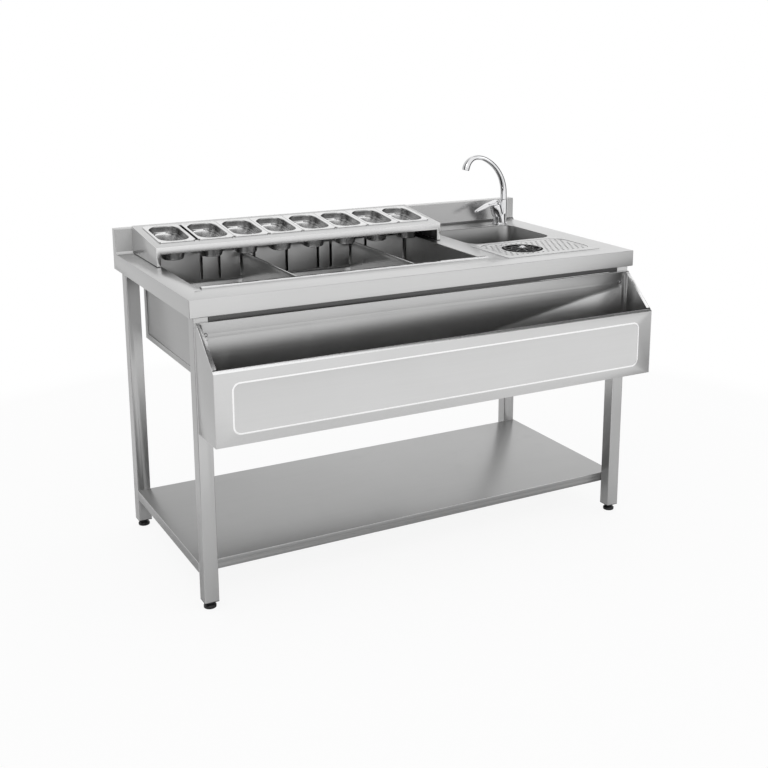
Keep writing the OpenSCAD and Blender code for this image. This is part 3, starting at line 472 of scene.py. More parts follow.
class Material(Enum):
    """The station's finishes."""

    SHEET = steel("steel_sheet", 0.62)
    # Painted reflection: the upstand's front is the worktop's steel made darker, standing in for the top that it
    # mirrors.
    UPSTAND = steel("steel_upstand_painted_reflection", 0.42, rough=0.24)
    # Painted light: the holder's lip front is the holder's steel made paler.
    HOLDER = steel("steel_holder", 0.62)
    LIP = steel("steel_lip_painted_light", 0.78, rough=0.24)
    # Painted shade: the front tube is made near-black where it lies in shade behind the worktop's skirt.
    SHADED = steel("steel_tube_painted_shade", 0.12, spread=0.03, rough=0.4)
    # Painted shade: near-black rounded edges round the rinser plate and its holes, darkening the gap and the holes.
    GROOVE = PaintedEdgeLight("steel_groove_painted_shade", "brushed_steel", grey(0.05), grey(0.12), 0.4, 0.6, 0.01)
    SIDE_SHEET = steel("steel_side_sheet", 0.60, Grain.ALONG_Y)
    TUBE = steel("steel_upright", 0.55, Grain.ALONG_Z)
    # Painted shade: the shelf is the same steel made darker where it lies under the worktop.
    SHELF = steel("steel_shelf_painted_shade", 0.38)
    TROUGH = steel("steel_trough", 0.65)
    # Painted shade: the trough's back wall is the trough's steel made darker.
    TROUGH_BACK = steel("steel_trough_back_painted_shade", 0.58)
    # Painted shade: the well's steel is made darker inside its recess.
    WELL = steel("steel_well_painted_shade", 0.48)
    DIVIDER = steel("steel_divider", 0.62, Grain.ALONG_Y, rough=0.26)
    # Painted shade: the bowl's steel is made darker inside its recess.
    BOWL = steel("steel_bowl_painted_shade", 0.34, rough=0.34, lines=0.35)
    # Painted highlight: near-white where rounded edges look up, with painted shade where they look down.
    EDGE = PaintedEdgeLight("steel_edge_painted_highlight", "brushed_steel", grey(0.38), grey(0.96), 0.18, 0.30, 0.01)
    # Painted light and shade on rounded folds: paler where they look up, darker where they look down.
    RUBBED = PaintedEdgeLight("steel_fold_painted_light", "brushed_steel", grey(0.36), grey(0.74), 0.22, 0.34, 0.01)
    PAN = BrightMetal("steel_pan_flange", "polished_steel", grey(0.64), grey(0.80), 0.12, 0.24, 0.01)
    # Painted shade and highlight inside the pans: darker walls and base, and a bright band on the shoulder's
    # fillet.
    PAN_WALL = steel("steel_pan_wall_painted_shade", 0.34, spread=0.10, rough=0.26, lines=1.1, slot="polished_steel")
    PAN_FILLET = BrightMetal("steel_pan_fillet_painted_highlight", "polished_steel", grey(0.76), grey(0.88), 0.16, 0.26, 0.01)
    PAN_BASE = BrightMetal("steel_pan_base_painted_shade", "polished_steel", grey(0.46), grey(0.60), 0.26, 0.36, 0.01)
    BRIGHT = BrightMetal("steel_polished", "polished_steel", grey(0.66), grey(0.80), 0.12, 0.24, 0.01)
    CHROME = BrightMetal("chrome_plate", "chrome", (0.64, 0.65, 0.66), (0.80, 0.80, 0.81), 0.02, 0.07, 0.002)
    SCREW = BrightMetal("steel_screw", "polished_steel", grey(0.22), grey(0.40), 0.2, 0.35, 0.01)
    BLACK = Moulded("plastic_black", "black_plastic", (0.012, 0.012, 0.013), (0.03, 0.03, 0.032), 0.38, 0.55, 0.03)
    RUBBER = Moulded("rubber_black", "seal_rubber", grey(0.01), grey(0.022), 0.6, 0.8, 0.05, spark=1400.0)

    def made(self) -> bpy.types.Material:
        """Returns the material, which is built when it is first wanted."""
        return bpy.data.materials.get(self.value.name) or self.value.build()


def dress(piece: Object, *finishes: Material) -> None:
    """Gives a piece its finishes, by its faces' numbers where there are several.

    Args:
        piece: The object.
        *finishes: The finish of each number.
    """
    numbers = [face.material_index for face in piece.data.polygons]
    piece.data.materials.clear()
    for finish in finishes:
        piece.data.materials.append(finish.made())
    if len(finishes) > 1:
        piece.data.polygons.foreach_set("material_index", numbers)


def place_piece(piece: Object, finishes: Sequence[Material], nodes: Sequence[str]) -> Object:
    """Dresses a finished piece and fixes it to the body that carries its first node.

    Args:
        piece: The finished piece.
        finishes: The finish of each of its faces' numbers, the main one first.
        nodes: The nodes that it stands for.

    Returns:
        The same piece.
    """
    body = frame["nodes"][nodes[0]]["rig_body"]
    dress(piece, *finishes)
    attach(piece, body)
    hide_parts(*nodes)
    LOG.info("%s: %d faces, rides on %s", piece.name, len(piece.data.polygons), body)
    return piece


# Sheet metal: the nodes' own shapes with their folds rounded


def face_reach(face: bmesh.types.BMFace, edge: bmesh.types.BMEdge) -> float:
    """Measures how far a face reaches away from one of its edges.

    Args:
        face: The face.
        edge: One of its edges.

    Returns:
        The greatest distance of its corners from the edge's line.
    """
    start = edge.verts[0].co
    along = (edge.verts[1].co - start).normalized()
    away = [corner.co - start for corner in face.verts]
    return max((step - along * step.dot(along)).length for step in away)


@dataclass(frozen=True)
class Softening:
    """How a folded sheet's edges are rounded.

    Attributes:
        fold: The outer radius of a fold.
        cut: The width of the broken edge where a sheet was cut.
        long_edge: The least length of a fold.
        room: How many times its radius the faces beside a fold reach at least.
    """

    fold: float = 2.2
    cut: float = 0.25
    long_edge: float = 12.0
    room: float = 2.2

    def weigh(self, piece: Object) -> None:
        """Marks each edge with the share of the fold's radius that it gets."""
        mesh = bmesh.new()
        mesh.from_mesh(piece.data)
        weight = mesh.edges.layers.float.new("bevel_weight_edge")
        for edge in mesh.edges:
            if len(edge.link_faces) != 2 or edge.calc_face_angle() < SHARP_FROM:
                continue
            reach = min(face_reach(face, edge) for face in edge.link_faces)
            is_long = edge.calc_length() > self.long_edge * MM
            is_fold = edge.is_convex and reach > self.room * self.fold * MM and is_long
            edge[weight] = 1.0 if is_fold else self.cut / self.fold
        mesh.to_mesh(piece.data)
        mesh.free()


def copied_node(node: str, name: str) -> Object:
    """Copies a node's mesh into a new object, merged and cleared of needless edges.

    Args:
        node: The node.
        name: The new object's name.

    Returns:
        The new object.
    """
    activate(frame["nodes"][node])
    bpy.ops.object.duplicate()
    piece = bpy.context.view_layer.objects.active
    piece.parent = None
    piece.name = piece.data.name = name
    for key in list(piece.keys()):
        del piece[key]
    bpy.ops.object.mode_set(mode="EDIT")
    bpy.ops.mesh.select_all(action="SELECT")
    bpy.ops.mesh.remove_doubles(threshold=MERGE_WITHIN)
    bpy.ops.mesh.dissolve_limited(angle_limit=FLAT_WITHIN)
    bpy.ops.object.mode_set(mode="OBJECT")
    return piece


Chooser = Callable[[MeshPolygon], bool]
Places = dict[Material, Chooser]


def number_faces(piece: Object, number: int, chosen: Chooser) -> None:
    """Gives the chosen faces a finish's number.

    Args:
        piece: The object.
        number: The number.
        chosen: Tells whether a face is one of them.
    """
    for face in piece.data.polygons:
        if chosen(face):
            face.material_index = number


def soften(
    node: str, finish: Material, softening: Softening = Softening(), segments: int = 3,
    edge: Optional[Material] = None, places: Optional[Places] = None,
) -> Object:
    """Makes a node's shape again with rounded folds and broken edges.

    Args:
        node: The node to copy and stand for.
        finish: What it is made of.
        softening: How its edges are rounded.
        segments: How many faces go round a fold.
        edge: The finish of the rounded edges, where that differs.
        places: Further finishes, each with what tells its faces.

    Returns:
        The new piece.
    """
    piece = copied_node(node, f"{node}_made")
    softening.weigh(piece)
    finishes = [finish, edge] if edge else [finish]
    dress(piece, *finishes)
    apply_modifier(
        piece, "BEVEL", width=softening.fold * MM, segments=segments, limit_method="WEIGHT",
        material=len(finishes) - 1,
    )
    for other, chosen in (places or {}).items():
        number_faces(piece, len(finishes), chosen)
        finishes.append(other)
    shade(piece)
    return place_piece(piece, finishes, [node])


@dataclass
class SheetWork:
    """The folded and welded steel that keeps the solids' shapes, with rounded edges.

    Attributes:
        folds: Each node with its finish and the radius of its folds.
        drop: How far the front tube's underside is drawn down.
    """

    folds: dict[str, tuple[Material, float]] = field(default_factory=lambda: {
        "shelf": (Material.SHELF, 2.5),
        "well_tub": (Material.WELL, 2.0),
        "well_base_frame": (Material.WELL, 1.0),
        "well_rear_guide": (Material.WELL, 1.0),
        "well_front_strip": (Material.BRIGHT, 0.8),
        "divider_left": (Material.DIVIDER, 0.6),
        "divider_right": (Material.DIVIDER, 0.6),
        "rinser_basin": (Material.SHEET, 0.4),
        "frame_tube_rear": (Material.SHEET, 2.0),
        "frame_tube_left": (Material.SIDE_SHEET, 2.0),
        "frame_tube_right": (Material.SIDE_SHEET, 2.0),
        "worktop_stiffener": (Material.SHEET, 1.8),
        "shelf_stiffener": (Material.SHELF, 1.8),
    })
    drop: float = 3.6

    def build(self) -> None:
        """Makes every piece."""
        for node, (finish, fold) in self.folds.items():
            # Rounded folds get painted light where they look up and painted shade where they look down.
            soften(node, finish, Softening(fold), edge=Material.RUBBED)
        # The rinser plate's rounded edges, round its rim and its holes, get near-black painted shade.
        soften("rinser_plate", Material.SHEET, Softening(0.6, 0.4), edge=Material.GROOVE)
        # The front tube gets near-black painted shade behind the worktop's skirt.
        self.lower_tube(soften("frame_tube_front", Material.SHADED, Softening(2.0)))

    def lower_tube(self, tube: Object) -> None:
        """Draws the front tube's underside down, so that no light shows between it and the rail's back.

        Args:
            tube: The tube's piece.
        """
        low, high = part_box("frame_tube_front")
        for corner in tube.data.vertices:
            if corner.co.z < (low.z + high.z) / 2:
                corner.co.z -= self.drop * MM


@dataclass
class Worktop:
    """The folded worktop with its upstand, whose front is painted darker as a painted reflection of the top before
    it.

    Attributes:
        upstand: How far over the top the upstand's painted reflection starts.
        rim: How far the rounded rim of the sink's opening goes down.
    """

    upstand: float = 10.0
    rim: float = 1.2

    def build(self) -> None:
        """Makes the piece."""
        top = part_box("rinser_plate")[1].z
        low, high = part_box("sink_bowl")

        def is_upstand(face: MeshPolygon) -> bool:
            """Tells whether a face is the upstand's front."""
            return face.normal.y < FACES_FRONT and face.center.z > top + self.upstand * MM

        def is_sink_rim(face: MeshPolygon) -> bool:
            """Tells whether a face is the rounded rim of the sink's opening."""
            inside = low.x < face.center.x < high.x and low.y < face.center.y < high.y
            return inside and face.material_index == 1 and face.center.z > top - self.rim * MM

        # Painted reflection on the upstand's front, and a painted highlight on the sink opening's rounded rim.
        soften(
            "worktop", Material.SHEET, Softening(2.2, 0.3), edge=Material.SHEET,
            places={Material.UPSTAND: is_upstand, Material.EDGE: is_sink_rim},
        )


@dataclass
class PanHolder:
    """The sloped holder, with painted highlights on its folds and a paler painted tone on its lip's front.

    Attributes:
        lip: How far under the holder's top its lip is found.
    """

    lip: float = 60.0

    def build(self) -> None:
        """Makes the piece."""
        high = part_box("pan_holder")[1].z

        def is_lip(face: MeshPolygon) -> bool:
            """Tells whether a face is the lip's front."""
            return face.normal.y < FACES_FRONT and face.center.z > high - self.lip * MM

        # Painted highlight on the rounded folds, and a paler painted tone on the lip's front.
        soften("pan_holder", Material.HOLDER, Softening(1.6), edge=Material.EDGE, places={Material.LIP: is_lip})


@dataclass
class SpeedRail:
    """The trough with its pressed bead and folded lip, and the two end plates.

    Attributes:
        bead: How far behind the trough's front its bead's painted highlight reaches.
        back: How far before the trough's rear its back is found.
        side: How far the outside of a lip looks to a side at most.
        lean: How far it looks to the front and up at least.
        ends: The end plates' nodes.
    """

    bead: float = 0.96
    back: float = 10.0
    side: float = 0.2
    lean: float = 0.3
    ends: Sequence[str] = ("speed_rail_end_left", "speed_rail_end_right")

    def build(self) -> None:
        """Makes the three pieces."""
        low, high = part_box("speed_rail")
        front = low.y + self.bead * MM
        back = high.y - self.back * MM
        # Painted highlight on the bead and the lips that lean back, and painted shade on the back wall.
        soften(
            "speed_rail", Material.TROUGH, Softening(1.1, 0.6), edge=Material.RUBBED,
            places={
                Material.EDGE: lambda face: face.center.y < front or self.is_sloped(face),
                Material.TROUGH_BACK: lambda face: face.normal.y < FACES_FRONT and face.center.y > back,
            },
        )
        for node in self.ends:
            # Painted highlight on the end plates' sloped lips.
            soften(
                node, Material.SIDE_SHEET, Softening(1.2, 0.3), edge=Material.RUBBED,
                places={Material.EDGE: self.is_sloped},
            )

    def is_sloped(self, face: MeshPolygon) -> bool:
        """Tells whether a face is the outside of a lip that leans back."""
        normal = face.normal
        return abs(normal.x) < self.side and normal.y < -self.lean and normal.z > self.lean


@dataclass
class Uprights:
    """The legs, the plugs that close them, and the feet.

    Attributes:
        corners: The end of each node's name.
    """

    corners: Sequence[str] = ("front_left", "front_right", "rear_left", "rear_right")

    def build(self) -> None:
        """Makes the pieces of each corner."""
        for corner in self.corners:
            soften(f"leg_{corner}", Material.TUBE, Softening(0.6))
            soften(f"leg_plug_{corner}", Material.BLACK, Softening(0.8, 0.4, 3.0))
            soften(f"foot_{corner}", Material.BLACK, Softening(0.8, 0.6, 3.0))


@dataclass
class Fittings:
    """The turned, moulded and pressed small parts, whose edges are all broken.

    Attributes:
        turned: Each node with its finish and the width of its broken edges.
    """

    turned: dict[str, tuple[Material, float]] = field(default_factory=lambda: {
        "shelf_bolts": (Material.BRIGHT, 0.4),
        "rail_screws": (Material.SCREW, 0.5),
        "holder_seal": (Material.RUBBER, 0.4),
        "well_drain": (Material.BRIGHT, 0.5),
        "sink_waste": (Material.BRIGHT, 0.5),
        "sink_waste_nut": (Material.BLACK, 0.8),
        "sink_strainer": (Material.BRIGHT, 0.3),
        "rinser_star": (Material.BLACK, 0.5),
        "rinser_nozzle": (Material.CHROME, 0.5),
        "rinser_valve": (Material.CHROME, 0.5),
        "tap_body": (Material.CHROME, 1.2),
        "tap_base_ring": (Material.CHROME, 0.6),
        "tap_nut": (Material.BRIGHT, 0.6),
        "tap_spout": (Material.CHROME, 0.6),
        "tap_aerator": (Material.CHROME, 0.4),
        "tap_cartridge": (Material.BLACK, 0.4),
        "tap_bonnet": (Material.CHROME, 0.5),
        "tap_lever": (Material.CHROME, 1.2),
    })

    def build(self) -> None:
        """Makes every piece."""
        for node, (finish, broken) in self.turned.items():
            soften(node, finish, Softening(broken, broken, 0.0), segments=2)


# Drawn sheet: rounded outlines that are bridged from the base up to the flange


@dataclass(frozen=True)
class Ring:
    """One rounded outline of a drawn shape.

    Attributes:
        width: Its size along X.
        depth: Its size along Y.
        height: Its place along Z.
        corner: Its corner radius.
    """

    width: float
    depth: float
    height: float
    corner: float

    def add(self, steps: int) -> None:
        """Adds the outline to the mesh in edit mode, with a face in it.

        Args:
            steps: How many edges go round a corner.
        """
        bpy.ops.mesh.primitive_plane_add(size=1.0, location=(0, 0, self.height * MM))
        bpy.ops.transform.resize(value=(self.width * MM, self.depth * MM, 1))
        bpy.ops.mesh.bevel(
            offset=self.corner * MM, offset_type="OFFSET", segments=steps, profile=0.5, affect="VERTICES"
        )


@dataclass(frozen=True)
class Drawing:
    """A drawn sheet shape: a base, walls and a flange round a mouth.

    Attributes:
        rings: The outlines, from the base up to the flange's edge.
        sheet: The sheet's thickness.
        open_base: Whether the base has a hole as large as the first outline.
        steps: How many faces go round a corner.
    """

    rings: Sequence[Ring]
    sheet: float
    open_base: bool = False
    steps: int = 9

    def build(self, name: str) -> Object:
        """Makes the shape at the origin.

        Args:
            name: The new object's name.

        Returns:
            The object.
        """
        piece = bpy.data.objects.new(name, bpy.data.meshes.new(name))
        bpy.context.collection.objects.link(piece)
        activate(piece)
        bpy.ops.object.mode_set(mode="EDIT")
        self.rings[0].add(self.steps)
        for ring in self.rings[1:]:
            bpy.ops.mesh.select_all(action="DESELECT")
            ring.add(self.steps)
            bpy.ops.mesh.delete(type="ONLY_FACE")
            bpy.ops.mesh.select_all(action="DESELECT")
            bpy.ops.mesh.select_non_manifold()
            bpy.ops.mesh.bridge_edge_loops()
        bpy.ops.mesh.select_all(action="SELECT")
        bpy.ops.mesh.normals_make_consistent(inside=False)
        if self.open_base:
            bpy.ops.mesh.select_face_by_sides(number=4 * (self.steps + 1), type="EQUAL", extend=False)
            bpy.ops.mesh.delete(type="ONLY_FACE")
        bpy.ops.object.mode_set(mode="OBJECT")
        self.thicken(piece)
        shade(piece, 40.0)
        return piece

    def thicken(self, piece: Object) -> None:
        """Gives the skin the sheet's thickness, towards the outside and below."""
        upward = max(piece.data.polygons, key=lambda face: face.area).normal.z > 0
        offset = -1.0 if upward else 1.0
        apply_modifier(piece, "SOLIDIFY", thickness=self.sheet * MM, offset=offset, use_even_offset=False)


@dataclass
class GarnishPans:
    """The eight drawn pans, which are modelled once and copied.

    Attributes:
        count: How many pans there are.
        slope: The holder's slope, in degrees.
        half_depth: Half of a pan's depth along the slope.
        rim: The height of a pan's rim.
        deep: A pan's depth.
        sheet: The sheet's thickness.
        mouth: How much narrower and shallower than the flange the mouth is.
        corner: The flange's corner radius.
        corner_share: The walls' corner radius, as shares of their own and of the flange's width.
        shoulder: How deep under the rim the shoulder lies.
        fillet: How far the shoulder's fillet goes down and up from there.
        lit: How far right of a pan's middle the fillet's painted highlight ends, and how far behind it starts.
        edge: How far the flange's finish goes down the wall.
    """

    count: int = 8
    slope: float = 6.4
    half_depth: float = 88.0
    rim: float = 3.0
    deep: float = 65.0
    sheet: float = 0.8
    mouth: tuple[float, float] = (20.0, 22.0)
    corner: float = 11.0
    corner_share: tuple[float, float] = (0.36, 0.03)
    shoulder: float = 20.6
    fillet: tuple[float, float] = (3.4, 1.0)
    lit: tuple[float, float] = (16.0, 20.0)
    edge: float = 2.0

    def drawing(self, width: float) -> Drawing:
        """Describes one pan.

        Args:
            width: The flange's width.

        Returns:
            The pan's drawing.
        """
        rim = self.rim
        base = rim - self.deep + self.sheet
        depth = 2 * self.half_depth
        profile = (
            (-29.0, base), (-27.6, base + 0.5), (-26.0, base + 1.8), (-24.6, base + 4.2), (-23.4, base + 8.0),
            (-19.5, base + 20.0), (-13.0, rim - 28.0), (-11.2, rim - 24.8), (-9.6, rim - 22.8), (-7.0, rim - 21.4),
            (-4.4, rim - self.shoulder), (-2.4, rim - 19.4), (-1.2, rim - 17.6), (0.0, rim - 5.2), (0.5, rim - 3.1),
            (1.6, rim - 1.7), (3.4, rim - 0.85), (5.0, rim - 0.62), (6.2, rim - 0.56),
        )
        flange = ((4.6, -0.5), (3.2, -0.44), (2.2, -0.15), (1.4, 0.0), (0.7, -0.25), (0.3, -0.8), (0.25, -2.6))
        own, whole = self.corner_share
        rings = []
        for grow, height in profile:
            wide = width - self.mouth[0] + grow
            rings.append(Ring(wide, depth - self.mouth[1] + grow, height, own * wide + whole * width))
        for inset, height in flange:
            rings.append(Ring(width - 2 * inset, depth - 2 * inset, rim + height, self.corner - inset))
        return Drawing(rings, self.sheet)

    def build(self) -> None:
        """Makes the first pan and copies it into the others' places."""
        low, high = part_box("pan_2")
        first = self.drawing((high.x - low.x) / MM).build("pan_pattern")
        base = self.rim - self.deep
        fillet_low = self.deep - self.shoulder - self.fillet[0]
        fillet_high = self.deep - self.shoulder + self.fillet[1]

        def height(face: MeshPolygon) -> float:
            """Gives a face's height over the pan's base."""
            return face.center.z / MM - base

        def is_lit(face: MeshPolygon) -> bool:
            """Tells whether a face is the fillet's rear left part, which gets a painted highlight."""
            is_fillet = fillet_low < height(face) < fillet_high
            return is_fillet and face.center.x < self.lit[0] * MM and face.center.y > self.lit[1] * MM

        # Painted shade on the walls, a painted highlight on the fillet's rear left part, and painted shade on the
        # lower walls and the base.
        number_faces(first, 1, lambda face: fillet_low < height(face) < self.deep - self.edge)
        number_faces(first, 2, is_lit)
        number_faces(first, 3, lambda face: height(face) < fillet_low)
        for number in range(1, self.count + 1):
            self.copy(first, f"pan_{number}")
        deselect()
        bpy.data.objects.remove(first)

    def copy(self, first: Object, node: str) -> None:
        """Copies the pattern into one pan's place on the slope.

        Args:
            first: The pattern.
            node: The pan's node.
        """
        activate(first)
        bpy.ops.object.duplicate()
        pan = bpy.context.view_layer.objects.active
        pan.name = pan.data.name = f"{node}_drawn"
        low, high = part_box(node)
        angle = math.radians(self.slope)
        reach = self.half_depth * MM
        rise = reach * math.sin(angle) + self.rim * MM * math.cos(angle)
        pan.rotation_euler = (angle, 0, 0)
        pan.location = ((low.x + high.x) / 2, high.y - reach * math.cos(angle), high.z - rise)
        settle(pan)
        place_piece(pan, (Material.PAN, Material.PAN_WALL, Material.PAN_FILLET, Material.PAN_BASE), [node])


@dataclass
class SinkBowl:
    """The drawn bowl, whose floor falls to its waste.

    Attributes:
        mouth: The mouth's width and depth.
        corner: The mouth's corner radius.
        deep: How far the floor lies under the worktop's top.
        worktop: The worktop's thickness.
        sheet: The sheet's thickness.
        hole: The waste's hole.
        sump: The width of the flat round it.
        flange: How much larger than the mouth the flange is.
    """

    mouth: tuple[float, float] = (308.0, 266.0)
    corner: float = 45.0
    deep: float = 150.0
    worktop: float = 1.5
    sheet: float = 1.2
    hole: float = 50.0
    sump: float = 84.0
    flange: float = 15.0

    def build(self) -> None:
        """Makes the bowl and puts it under the worktop."""
        low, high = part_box("sink_bowl")
        top = high.z / MM
        floor = top + self.worktop - self.deep
        wide, long = self.mouth
        rings = [Ring(self.hole, self.hole, floor - 0.3, 24.9), Ring(self.sump, self.sump, floor, 41.0)]
        for grow, height, shrink in (
            (-48.0, 1.0, 14.0), (-33.0, 2.4, 10.0), (-25.0, 5.4, 8.0), (-19.0, 9.6, 6.5), (-15.0, 14.8, 5.0),
            (-12.6, 20.2, 4.0), (-11.6, 26.0, 4.0), (-6.0, self.deep - 60.0, 2.0), (0.0, self.deep - 3.2, 0.0),
            (0.6, self.deep - 2.4, 0.0), (2.4, self.deep - 1.8, 0.0),
        ):
            rings.append(Ring(wide + grow, long + grow, floor + height, self.corner - shrink))
        rings.append(Ring(wide + self.flange, long + self.flange, top - 0.1, self.corner + 7.0))
        piece = Drawing(rings, self.sheet, open_base=True, steps=11).build("sink_bowl_drawn")
        piece.location = ((low.x + high.x) / 2, (low.y + high.y) / 2, 0)
        settle(piece)
        place_piece(piece, [Material.BOWL], ["sink_bowl"])


@dataclass
class RinserSpring:
    """The coil under the rinser's star, wound by a screw.

    Attributes:
        wire: The wire's radius.
        turns: How many turns it has.
        wire_steps: How many faces go round the wire.
        turn_steps: How many go along a turn.
    """

    wire: float = 0.9
    turns: int = 6
    wire_steps: int = 12
    turn_steps: int = 24

    def build(self) -> None:
        """Winds the coil between the valve and the star."""
        low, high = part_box("rinser_spring")
        radius = (high.x - low.x) / 2 - self.wire * MM
        rise = (high.z - low.z - 2 * self.wire * MM) / self.turns
        steps = self.turn_steps * self.turns
        deselect()
        bpy.ops.mesh.primitive_circle_add(
            vertices=self.wire_steps, radius=self.wire * MM, location=(radius, 0, self.wire * MM),
            rotation=(math.pi / 2, 0, 0),
        )
        spring = bpy.context.object
        spring.name = spring.data.name = "rinser_spring_coil"
        settle(spring)
        apply_modifier(
            spring, "SCREW", angle=2 * math.pi * self.turns, screw_offset=rise * self.turns,
            steps=steps, render_steps=steps,
        )
        activate(spring)
        bpy.ops.object.mode_set(mode="EDIT")
        bpy.ops.mesh.select_all(action="DESELECT")
        bpy.ops.mesh.select_non_manifold()
        bpy.ops.mesh.edge_face_add()
        bpy.ops.mesh.select_all(action="SELECT")
        bpy.ops.mesh.normals_make_consistent(inside=False)
        bpy.ops.object.mode_set(mode="OBJECT")
        spring.location = ((low.x + high.x) / 2, (low.y + high.y) / 2, low.z)
        settle(spring)
        shade(spring)
        place_piece(spring, [Material.BRIGHT], ["rinser_spring"])


# The stage


def surroundings_effect(name: str) -> NodeTree:
    """Builds what metal mirrors: white all round, greyer in one quarter, with two narrow dark cards.

    Args:
        name: The group's name.

    Returns:
        The group, which turns a direction into a level.
    """
    effect = Nodes.start(
        name,
        {"Direction": "vector", "Quarter": "vector", "Right Card": "vector", "Left Card": "vector", "Depth": 1.0},
        ["Level"],
    )
    group = effect.add("NodeGroupInput")
    flat = effect.vector_math("MULTIPLY", group.outputs["Direction"], (1, 1, 0))
    unit = effect.vector_math("NORMALIZE", flat.outputs["Vector"])
    level: object = 1.0
    for target, low, high, depth in (
        ("Quarter", 0.3, 0.95, group.outputs["Depth"]),
        ("Right Card", 0.90, 0.96, 0.94), ("Left Card", 0.94, 0.975, 0.94),
    ):
        toward = effect.vector_math("DOT_PRODUCT", unit.outputs["Vector"], group.outputs[target])
        part = effect.weighted(effect.ramp(toward.outputs["Value"], low, high), depth)
        level = effect.weighted(level, effect.math("SUBTRACT", 1.0, part))
    return effect.finish(Level=level)


@dataclass(frozen=True)
class Lamp:
    """A square lamp that looks at the middle of the station.

    Attributes:
        name: The lamp's name.
        place: Where it hangs, in metres.
        size: The length of its sides, in metres.
        power: Its power, in watts.
        middle: Where it looks, in metres.
    """

    name: str
    place: Point
    size: float
    power: float
    middle: Point = (0.0, 0.0, 0.6)

    def build(self) -> None:
        """Adds the lamp."""
        deselect()
        bpy.ops.object.light_add(type="AREA", location=self.place)
        lamp = bpy.context.object
        lamp.name = self.name
        lamp.data.size = self.size
        lamp.data.energy = self.power
        aim = Vector(self.middle) - Vector(self.place)
        lamp.rotation_euler = aim.to_track_quat("-Z", "Y").to_euler()


@dataclass(frozen=True)
class Studio:
    """The floor, the lamps and the white surroundings.

    Attributes:
        lamps: The two lamps.
        floor_reach: How far the floor goes, in metres.
        floor_tone: The floor's own grey.
        floor_white: How much of the floor near the station is white whatever falls on it.
        floor_fade: Where the floor starts to turn white and where it is, in metres from the middle.
        world_level: How bright the surroundings light what isn't a mirror.
        quarter: Where the surroundings are greyer in a mirror.
        quarter_depth: How much greyer they are there.
        right_card: Where a dark card stands that chrome mirrors along its right side.
        left_card: Where the other dark card stands.
    """

    lamps: Sequence[Lamp] = (
        Lamp("key_lamp", (-2.4, -3.2, 3.6), 1.6, 14.0), Lamp("fill_lamp", (3.2, -2.2, 2.6), 1.4, 5.6)
    )
    floor_reach: float = 14.0
    floor_tone: float = 0.9
    floor_white: float = 0.9
    floor_fade: tuple[float, float] = (0.9, 2.2)
    world_level: float = 0.85
    quarter: Point = (-0.707, 0.707, 0.0)
    quarter_depth: float = 0.3
    right_card: Point = (0.978, -0.208, 0.0)
    left_card: Point = (-0.985, -0.174, 0.0)

    def build(self) -> None:
        """Makes the floor, the lamps and the world."""
        deselect()
        bpy.ops.mesh.primitive_circle_add(vertices=96, radius=self.floor_reach, fill_type="NGON")
        floor = bpy.context.object
        floor.name = "floor"
        floor.data.materials.append(self.floor_material())
        for lamp in self.lamps:
            lamp.build()
        self.world()

    def mirrored_level(self, nodes: Nodes, direction: NodeSocket, plain: float) -> NodeSocket:
        """Adds the level of the surroundings: white where seen, varied in metal, plain elsewhere.

        Args:
            nodes: The nodes of what shows them.
            direction: The direction of the surroundings.
            plain: The level for rays that light what isn't a mirror.

        Returns:
            The level's socket.
        """
        group = nodes.group(
            "mirrored_surroundings", surroundings_effect, Direction=direction, Quarter=self.quarter,
            Right_Card=self.right_card, Left_Card=self.left_card, Depth=self.quarter_depth,
        )
        path = nodes.add("ShaderNodeLightPath")
        level: object = plain
        for ray, value in (
            ("Is Glossy Ray", group.outputs["Level"]), ("Is Transmission Ray", 1.0), ("Is Camera Ray", 1.0)
        ):
            level = nodes.blend(path.outputs[ray], level, value)
        return level

    def floor_material(self) -> bpy.types.Material:
        """Makes the floor's material: pale, and fading into the white background."""
        material = bpy.data.materials.new("floor_pale")
        nodes = Nodes.of(material)
        place = nodes.add("ShaderNodeTexCoord").outputs["Object"]
        far = nodes.ramp(nodes.vector_math("LENGTH", place).outputs["Value"], *self.floor_fade)
        path = nodes.add("ShaderNodeLightPath")
        near = nodes.weighted(path.outputs["Is Camera Ray"], self.floor_white)
        matt = nodes.add("ShaderNodeBsdfDiffuse", Color=(*grey(self.floor_tone), 1))
        glow = nodes.add("ShaderNodeEmission", Strength=self.mirrored_level(nodes, place, 1.0))
        mix = nodes.add("ShaderNodeMixShader", nodes.math("MAXIMUM", far, near), matt.outputs[0], glow.outputs[0])
        nodes.add("ShaderNodeOutputMaterial", Surface=mix.outputs[0])
        return material

    def world(self) -> None:
        """Makes the surroundings: white where they are seen, and varied in metal."""
        world = bpy.context.scene.world or bpy.data.worlds.new("studio")
        bpy.context.scene.world = world
        nodes = Nodes.of(world)
        where = nodes.add("ShaderNodeTexCoord")
        level = self.mirrored_level(nodes, where.outputs["Generated"], self.world_level)
        background = nodes.add("ShaderNodeBackground", Color=(1, 1, 1, 1), Strength=level)
        nodes.add("ShaderNodeOutputWorld", Surface=background.outputs[0])


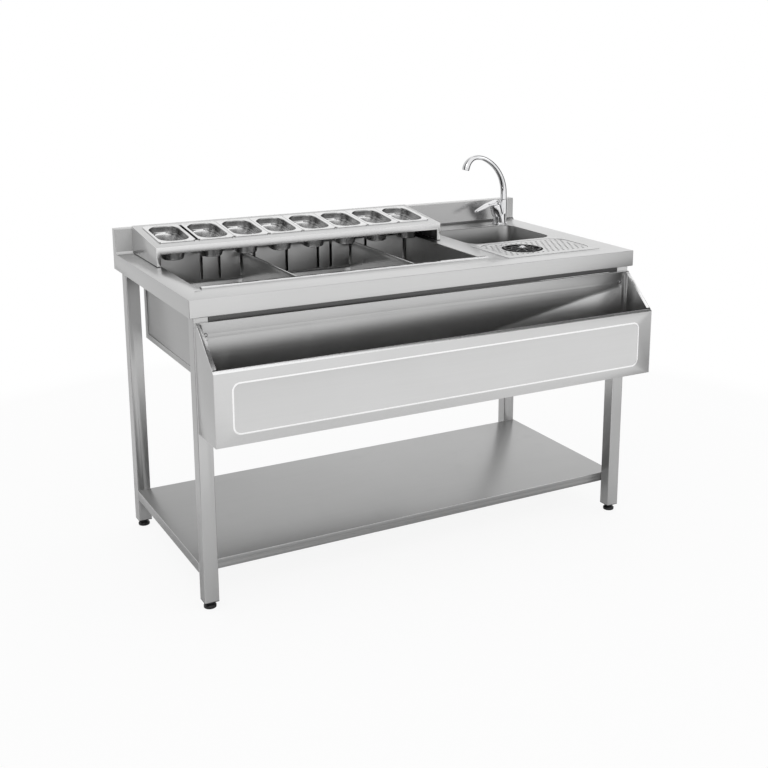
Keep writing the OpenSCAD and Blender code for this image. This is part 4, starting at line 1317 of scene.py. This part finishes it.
@dataclass(frozen=True)
class Viewpoint:
    """The photograph's camera, found from the pans' standard size and the worktop's corners.

    Attributes:
        place_mm: Its place from the worktop's front left corner, on the floor.
        yaw: How far it looks to the right of +Y, in degrees.
        pitch: How far it looks down, in degrees.
        roll: How far it is turned, in degrees.
        focal_px: Its focal length in pixels.
        centre_px: The pixel that it looks at.
        image_px: The photograph's width and height.
        sensor_mm: The camera's sensor's width.
    """

    place_mm: Point = (-880.8, -2762.5, 1524.1)
    yaw: float = 30.303
    pitch: float = 13.276
    roll: float = 0.432
    focal_px: float = 1176.9
    centre_px: tuple[float, float] = (445.0, 300.0)
    image_px: float = 768.0
    sensor_mm: float = 36.0

    def build(self) -> None:
        """Makes the camera and hands it to the scene."""
        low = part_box("worktop")[0]
        corner = Vector((low.x, low.y, 0.0))
        yaw, pitch, roll = (math.radians(angle) for angle in (self.yaw, self.pitch, self.roll))
        ahead = Vector((math.sin(yaw) * math.cos(pitch), math.cos(yaw) * math.cos(pitch), -math.sin(pitch)))
        level_right = Vector((math.cos(yaw), -math.sin(yaw), 0))
        level_up = level_right.cross(ahead)
        right = level_right * math.cos(roll) + level_up * math.sin(roll)
        up = level_up * math.cos(roll) - level_right * math.sin(roll)
        deselect()
        bpy.ops.object.camera_add()
        camera = bpy.context.object
        camera.name = "photo_camera"
        turn = Matrix((right, up, -ahead)).transposed()
        camera.matrix_world = Matrix.Translation(corner + Vector(self.place_mm) * MM) @ turn.to_4x4()
        camera.data.sensor_width = self.sensor_mm
        camera.data.lens = self.focal_px / self.image_px * self.sensor_mm
        camera.data.shift_x = (self.image_px / 2 - self.centre_px[0]) / self.image_px
        camera.data.shift_y = (self.centre_px[1] - self.image_px / 2) / self.image_px
        bpy.context.scene.camera = camera


def main() -> None:
    """Builds the classes in order."""
    logging.basicConfig(level=logging.INFO, format="%(message)s")
    bpy.context.scene.view_settings.view_transform = "Standard"
    for part in (
        Viewpoint(), Studio(), SheetWork(), Worktop(), PanHolder(), SpeedRail(), Uprights(), Fittings(),
        GarnishPans(), SinkBowl(), RinserSpring(),
    ):
        part.build()


if __name__ == "__main__":
    main()
